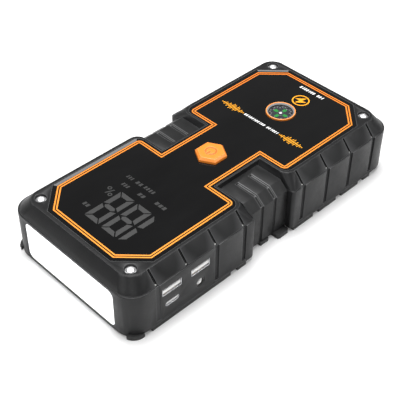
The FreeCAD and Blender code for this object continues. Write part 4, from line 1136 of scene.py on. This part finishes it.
    def waves(self) -> None:
        """Makes the two pulse traces beside the white marks."""
        bars = []
        for side in SIDES:
            for i, tall in enumerate(self.wave_heights):
                y = side * (self.wave_from + i * self.wave_step)
                x, half, reach = self.wave_x, self.wave_half, tall * self.wave_reach
                lean = reach * 0.18
                tip = half * 0.6
                outline = [(x + reach, y - lean - tip), (x + reach, y - lean + tip), (x, y + half),
                           (x - reach, y + lean + tip), (x - reach, y + lean - tip), (x, y - half)]
                bars.append(self.mark(f"wave_{side}_{i}", outline))
        self.fit(joined("pulse_traces", bars), Body.PACK, "orange_line", finish=self.finishes.trace_yellow)

    def white_marks(self) -> None:
        """Makes the two rows of plain white marks."""
        marks = []
        rows = ((self.wave_x, -12.4, 12.6, 0.8, 18), (80.6 * MM, -8.6, 8.6, 1.0, 11))
        for row, (x, start, end, half, count) in enumerate(rows):
            pitch = (end - start) / count
            for i in range(count):
                if i == count // 3:
                    continue
                y = (start + i * pitch) * MM
                wide = (pitch * (0.62 if i % 3 else 0.4)) * MM
                lean = 0.4 * MM
                marks.append(self.mark(f"white_mark_{row}_{i}", [
                    (x + half * MM, y), (x + half * MM, y + wide), (x - half * MM, y + wide + lean),
                    (x - half * MM, y + lean)]))
        self.fit(joined("panel_marks", marks), Body.PACK, "white_part", finish=self.finishes.mark_white)

    def badge(self) -> None:
        """Makes the ring with a spark in it."""
        x, y = self.badge_at
        ring = self.ring("badge_ring", self.badge_at, self.badge_r, self.badge_r - self.badge_line)
        spark = [(3.7, 1.8), (-3.1, 2.1), (-0.6, 0.3), (-3.7, -1.8), (3.1, -2.1), (0.6, -0.3)]
        slant = math.sqrt(0.5) * MM
        corners = [(x + (a + b) * slant, y + (b - a) * slant) for a, b in spark]
        bolt = self.mark("badge_spark", corners)
        self.fit(joined("spark_badge", [ring, bolt]), Body.PACK, "orange_line",
                 finish=self.finishes.badge_orange)

    def margin_reflections(self) -> None:
        """Makes pale strips in the glass margin, a painted reflection of light in the glass edge: along the
        far side and across the far corner.
        """
        start, end = self.strip_x
        low, high = self.strip_y
        near, far = self.strip_cut
        out = self.strip_out
        side = [(start, low), (end, low), (end + out, high), (start - out * 0.4, high)]
        corner = [near, far, (far[0] + out * 0.8, far[1] + out * 0.35),
                  (near[0] + out * 0.35, near[1] + out * 0.8)]
        strips = [self.mark("margin_side", side), self.mark("margin_corner", corner)]
        self.fit(joined("margin_reflections", strips), Body.PACK, "panel", finish=self.finishes.painted_reflection_grey)

    def build(self) -> None:
        """Makes everything on the panel."""
        self.display()
        self.waves()
        self.white_marks()
        self.badge()
        self.margin_reflections()


@dataclass
class PowerButton(Assembly):
    """The hexagonal cap with its rounded bevel, and the sign moulded into it."""

    edge: float = 0.5 * MM

    def build(self) -> None:
        """Makes the button."""
        self.softened("button_cap", "power_button", self.edge, Body.BUTTON, "orange_cap", 3)
        self.softened("button_sign", "power_symbol", 0.06 * MM, Body.BUTTON, "symbol")


@dataclass
class Compass(Assembly):
    """The floating dial with its ticks and pointers, and the ring round its window."""

    ring_out: float = 8.3 * MM
    ring_in: float = 7.65 * MM
    chapter_in: float = 6.95 * MM
    tick_count: int = 24
    tick_wide: float = 0.6 * MM
    tick_rows: tuple[tuple[float, int], ...] = ((0.8 * MM, 1), (1.7 * MM, 3))
    hub_r: float = 0.9 * MM
    arm_root: float = 1.7 * MM
    arm_long: float = 4.6 * MM
    arm_wide: float = 2.3 * MM
    ink: float = 0.05 * MM

    def build(self) -> None:
        """Makes the compass."""
        self.bezel()
        low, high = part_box("compass_card")
        self.centre = (low + high) / 2
        self.radius = (high.x - low.x) / 2
        self.dial(low.z, high.z)
        self.ticks()
        self.arms(high.z)

    def bezel(self) -> None:
        """Makes the narrow orange ring and the dark stepped ring inside it."""
        low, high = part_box("compass_ring")
        centre = ((low + high) / 2)[:2]
        out, mid, inner = self.ring_out, self.ring_in, self.chapter_in
        ease = 0.15 * MM
        loop = [(mid, low.z), (out, low.z), (out, high.z - ease), (out - ease, high.z), (mid + ease, high.z),
                (mid, high.z - ease), (mid, low.z)]
        ring = turned("compass_bezel", centre, loop, 72, hollow=True)
        self.fit(ring, Body.PACK, "orange_cap", "compass_ring")
        top = high.z - 0.3 * MM
        loop = [(inner, top - 0.9 * MM), (mid, top - 0.9 * MM), (mid, top), (mid - ease, top),
                (inner + ease, top - 0.35 * MM), (inner, top - 0.5 * MM), (inner, top - 0.9 * MM)]
        self.fit(turned("compass_chapter", centre, loop, 72, hollow=True), Body.PACK, "steel",
                 finish=self.finishes.tick_grey)

    def dial(self, low: float, high: float) -> None:
        """Makes the dial, with a raised rim and a stepped middle."""
        r = self.radius
        step = (high - low) * 0.3
        profile = [(r - 0.1 * MM, low), (r, low + step), (r, high - 0.05 * MM), (r - 0.08 * MM, high),
                   (r - 0.35 * MM, high), (r - 0.45 * MM, high - step), (r * 0.3, high - step),
                   (r * 0.27, high - 0.3 * step), (r * 0.05, high - 0.25 * step)]
        made = turned("dial_card", self.centre[:2], profile)
        self.fit(made, Body.DIAL, "dial", "compass_card")
        self.face = high - step

    def ticks(self) -> None:
        """Makes the ring of ticks, every third one longer."""
        cx, cy = self.centre[:2]
        outer = self.radius - 0.5 * MM
        made = []
        half = self.tick_wide / 2
        for long, every in self.tick_rows:
            start = cx + outer - long
            first = plate("tick", [(start, cy - half), (cx + outer, cy - half), (cx + outer, cy + half),
                                   (start, cy + half)], self.face, self.face + self.ink)
            made += spun(first, f"tick_{every}", self.centre, self.tick_count // every)
        self.fit(joined("dial_ticks", made), Body.DIAL, "dial", finish=self.finishes.tick_grey)

    def arms(self, high: float) -> None:
        """Makes the four green pointers and the hub."""
        cx, cy = self.centre[:2]
        root, tip = self.arm_root, self.arm_long
        half = self.arm_wide / 2
        first = plate("arm", [(cx + root, cy - half * 0.6), (cx + tip * 0.92, cy - half), (cx + tip, cy),
                              (cx + tip * 0.92, cy + half), (cx + root, cy + half * 0.6)],
                      self.face, self.face + 1.5 * self.ink)
        made = spun(first, "arm", self.centre, 4)
        self.fit(joined("dial_arms", made), Body.DIAL, "dial", finish=self.finishes.arm_green)
        profile = [(self.hub_r, high - 0.1 * MM), (self.hub_r, high), (0.6 * MM, high + 0.1 * MM),
                   (0.2 * MM, high + 0.14 * MM)]
        hub = turned("dial_hub", (cx, cy), profile, 24)
        self.fit(hub, Body.DIAL, "steel", finish=self.finishes.mark_white)


@dataclass
class CornerScrews(Assembly):
    """The four plated screws, each with a flanged head and a small round socket."""

    key_depth: float = 0.3 * MM
    key_r: float = 0.75 * MM
    shaft_r: float = 1.5 * MM
    sides: int = 48

    def build(self) -> None:
        """Makes one screw and copies it to the corners."""
        low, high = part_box("cover_screws")
        head = self.head_radius()
        top = high.z
        places = [(x, y) for x in (low.x + head, high.x - head) for y in (low.y + head, high.y - head)]
        first = self.screw(places[0], head, low.z, top)
        made = [first]
        for i, (x, y) in enumerate(places[1:], 1):
            step = Matrix.Translation((x - places[0][0], y - places[0][1], 0.0))
            made.append(duplicate(first, f"screw_{i}", step))
        self.fit(joined("corner_screws", made), Body.PACK, "chrome", "cover_screws")

    @staticmethod
    def head_radius() -> float:
        """Radius of a head, from the CAD screw nearest the lamp."""
        mesh = frame["nodes"]["cover_screws"].data
        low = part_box("cover_screws")[0]
        near = [v.co.x for v in mesh.vertices if v.co.x < 0.0]
        return (max(near) - low.x) / 2

    def screw(self, at: tuple[float, float], head: float, low: float, top: float) -> bpy.types.Object:
        """Turns one screw from its tip to its head, and sinks its socket.

        Args:
            at: Its axis.
            head: Its head's radius.
            low: Height of its tip.
            top: Height of its crown.

        Returns:
            The screw.
        """
        seat = top - 1.4 * MM
        key = self.key_r
        profile = [(self.shaft_r * 0.7, low), (self.shaft_r, low + 0.6 * MM), (self.shaft_r, seat),
                   (head - 0.1 * MM, seat), (head, seat + 0.15 * MM), (head, seat + 0.45 * MM),
                   (head - 0.2 * MM, seat + 0.62 * MM), (head * 0.84, seat + 0.66 * MM),
                   (head * 0.78, seat + 0.95 * MM), (head * 0.68, top - 0.16 * MM), (head * 0.58, top),
                   (key + 0.12 * MM, top), (key, top - 0.1 * MM)]
        made = turned("screw_0", at, profile, self.sides)
        bpy.ops.object.mode_set(mode="EDIT")
        choose(made, Pick.FACES, lambda place, normal: normal.z > 0.9
               and place.z > top - 0.15 * MM and (place.xy - Vector(at)).length < 0.2 * MM)
        raise_by(-self.key_depth)
        grow((0.9, 0.9, 1.0), (*at, 0.0))
        finish_mesh(made, 40.0)
        return made


@dataclass
class ChargePorts(Assembly):
    """The charging sockets' plated mouths, tongues and contacts."""

    lip: float = 0.1 * MM
    back: float = 0.35 * MM
    contact_wide: float = 1.1 * MM

    def tongue(self, name: str, mouth: tuple[Vector, Vector], wide: float, low: float, high: float,
               deep: float) -> bpy.types.Object:
        """Makes one insulating tongue with a thinned, eased front.

        Args:
            name: Its name.
            mouth: The box of the shell that it stands in.
            wide: Its width.
            low: Its underside, as a share of the mouth's height.
            high: Its top, as a share of the mouth's height.
            deep: How far it reaches in.

        Returns:
            The tongue.
        """
        near, far = mouth
        middle = (near.x + far.x) / 2
        tall = far.z - near.z
        front = near.y + self.back
        made = block(name, (middle - wide / 2, front, near.z + low * tall),
                     (middle + wide / 2, front + deep, near.z + high * tall))
        bpy.ops.object.mode_set(mode="EDIT")
        choose(made, Pick.FACES, lambda place, normal: normal.y < -0.9)
        bpy.ops.mesh.inset(thickness=self.lip)
        shift((0.0, -self.lip, 0.0))
        finish_mesh(made)
        return made

    def contacts(self, name: str, mouth: tuple[Vector, Vector], count: int, pitch: float,
                 height: float) -> list[bpy.types.Object]:
        """Makes a row of spring contacts under a tongue.

        Args:
            name: Start of their names.
            mouth: The box of the shell.
            count: How many there are.
            pitch: From one to the next.
            height: Height of their middle, as a share of the mouth's height.

        Returns:
            The contacts.
        """
        near, far = mouth
        middle = (near.x + far.x) / 2
        z = near.z + height * (far.z - near.z)
        made = []
        for i in range(count):
            x = middle + (i - (count - 1) / 2) * pitch
            bar = block(f"{name}_{i}", (x - self.contact_wide / 2, near.y + 3 * self.back, z - 0.1 * MM),
                        (x + self.contact_wide / 2, near.y + 18 * self.back, z + 0.1 * MM))
            bpy.ops.object.mode_set(mode="EDIT")
            choose(bar, Pick.EDGES, lambda place, run: abs(run.x) > 0.9)
            bpy.ops.mesh.bevel(offset=0.06 * MM, segments=2, affect="EDGES")
            finish_mesh(bar)
            made.append(bar)
        return made

    def mouths(self) -> list[tuple[Vector, Vector]]:
        """The box of each USB-A shell, which are the two halves of their node."""
        low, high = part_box("usb_a_shells")
        mesh = frame["nodes"]["usb_a_shells"].data
        middle = (low.x + high.x) / 2
        end = max(v.co.x for v in mesh.vertices if v.co.x < middle)
        start = min(v.co.x for v in mesh.vertices if v.co.x > middle)
        return [(low, Vector((end, high.y, high.z))), (Vector((start, low.y, low.z)), high)]

    def build(self) -> None:
        """Makes the sockets."""
        self.softened("usb_a_mouths", "usb_a_shells", self.lip, Body.PACK, "steel")
        self.softened("usb_c_mouth", "usb_c_shell", self.lip, Body.PACK, "steel")
        tongues, contacts = [], []
        for i, mouth in enumerate(self.mouths()):
            wide = (mouth[1].x - mouth[0].x) - 1.1 * MM
            tongues.append(self.tongue(f"tongue_{i}", mouth, wide, 0.3, 0.7, 8.0 * MM))
            contacts += self.contacts(f"contact_{i}", mouth, 4, 2.2 * MM, 0.26)
        self.fit(joined("usb_a_inserts", tongues), Body.PACK, "white_part", "usb_a_tongues",
                 finish=self.finishes.bright_tin)
        self.fit(joined("usb_a_contacts", contacts), Body.PACK, "brass")
        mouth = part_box("usb_c_shell")
        wide = (mouth[1].x - mouth[0].x) - 1.2 * MM
        insert = self.tongue("usb_c_insert", mouth, wide, 0.4, 0.62, 5.0 * MM)
        self.fit(insert, Body.PACK, "white_part", "usb_c_tongue", finish=self.finishes.bright_tin)
        self.barrel()

    def barrel(self) -> None:
        """Makes the charging socket's plated centre, which is turned upright and laid along Y."""
        self.softened("dc_mouth", "dc_socket", self.lip, Body.PACK, "black_part")
        low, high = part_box("dc_pin")
        x, z = (low.x + high.x) / 2, (low.z + high.z) / 2
        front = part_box("dc_socket")[0].y
        out = 1.95 * MM
        profile = [(out, -6.0 * MM), (out, -0.9 * MM), (out - 0.12 * MM, -0.7 * MM),
                   (out - 0.35 * MM, -0.65 * MM), (out - 0.5 * MM, -0.9 * MM), (0.9 * MM, -0.9 * MM),
                   (0.85 * MM, -0.4 * MM),
                   (0.6 * MM, -0.15 * MM), (0.2 * MM, -0.1 * MM)]
        upright = turned("dc_upright", (0.0, 0.0), profile, 40)
        lay = Matrix.Translation((x, front, z)) @ Matrix.Rotation(math.radians(90.0), 4, "X")
        laid = duplicate(upright, "dc_contact", lay)
        bpy.data.objects.remove(upright)
        finish_mesh(laid)
        self.fit(laid, Body.PACK, "steel", "dc_pin", finish=self.finishes.bright_tin)


@dataclass
class LampWindow(Assembly):
    """The lamp's diffuser with its rounded rim."""

    edge: float = 0.3 * MM

    def build(self) -> None:
        """Makes the window."""
        self.softened("lamp_window", "lamp_lens", self.edge, Body.PACK, "lamp_white")


@dataclass
class SocketFlap(Assembly):
    """The rubber flap over the clamp-lead socket, with a raised border and finger ribs."""

    edge: float = 0.3 * MM
    rib_count: int = 5
    rib_wide: float = 0.6 * MM
    rib_pitch: float = 1.2 * MM
    rise: float = 0.16 * MM
    border_in: float = 1.1 * MM
    border_wide: float = 0.8 * MM

    def raised(self, name: str, low: Sequence[float], high: Sequence[float], rim: float) -> bpy.types.Object:
        """Makes a low moulded form on the flap's face, with a sunk middle where it has a rim.

        Args:
            name: Its name.
            low: Its lowest corner.
            high: Its highest corner.
            rim: Width of its rim, or 0 for a plain rib with eased edges.

        Returns:
            The form.
        """
        made = block(name, low, high)
        front = high[0] - 1e-6
        bpy.ops.object.mode_set(mode="EDIT")
        if rim > 0:
            choose(made, Pick.EDGES, lambda place, run: abs(run.x) > 0.9)
            bpy.ops.mesh.bevel(offset=rim, segments=4, affect="EDGES")
            choose(made, Pick.FACES, lambda place, normal: normal.x > 0.9)
            bpy.ops.mesh.inset(thickness=rim)
            shift((-(high[0] - low[0]) * 0.9, 0.0, 0.0))
        else:
            choose(made, Pick.EDGES, lambda place, run: place.x > front)
            bpy.ops.mesh.bevel(offset=self.rise * 0.6, segments=2, affect="EDGES")
        finish_mesh(made)
        return made

    def build(self) -> None:
        """Makes the flap, its raised border and the finger ribs at its free edge."""
        self.softened("flap_cover", "socket_flap", self.edge, Body.FLAP, "rubber")
        low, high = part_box("socket_flap")
        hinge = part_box("flap_pin")[0].y
        face = high.x
        inset = self.border_in
        border = self.raised("flap_border", (face - 0.05 * MM, low.y + inset, low.z + inset),
                             (face + self.rise, hinge - 1.4 * MM, high.z - inset), self.border_wide)
        ribs = [border]
        for i in range(self.rib_count):
            y = low.y + inset + 2.2 * self.border_wide + i * self.rib_pitch
            ribs.append(self.raised(f"flap_rib_{i}", (face - 0.05 * MM, y, low.z + 3.5 * inset),
                                    (face + self.rise, y + self.rib_wide, high.z - 3.5 * inset), 0.0))
        self.fit(joined("flap_relief", ribs), Body.FLAP, "rubber")


def main() -> None:
    """Builds the looks in order."""
    finishes = Finishes()
    finishes.dress_nodes()
    for kind in (Shells, PanelPrint, PowerButton, Compass, CornerScrews, ChargePorts, LampWindow,
                 SocketFlap):
        kind(finishes).build()
        LOG.info("finished %s", kind.__name__)
    Studio().build()


if __name__ == "__main__":
    main()
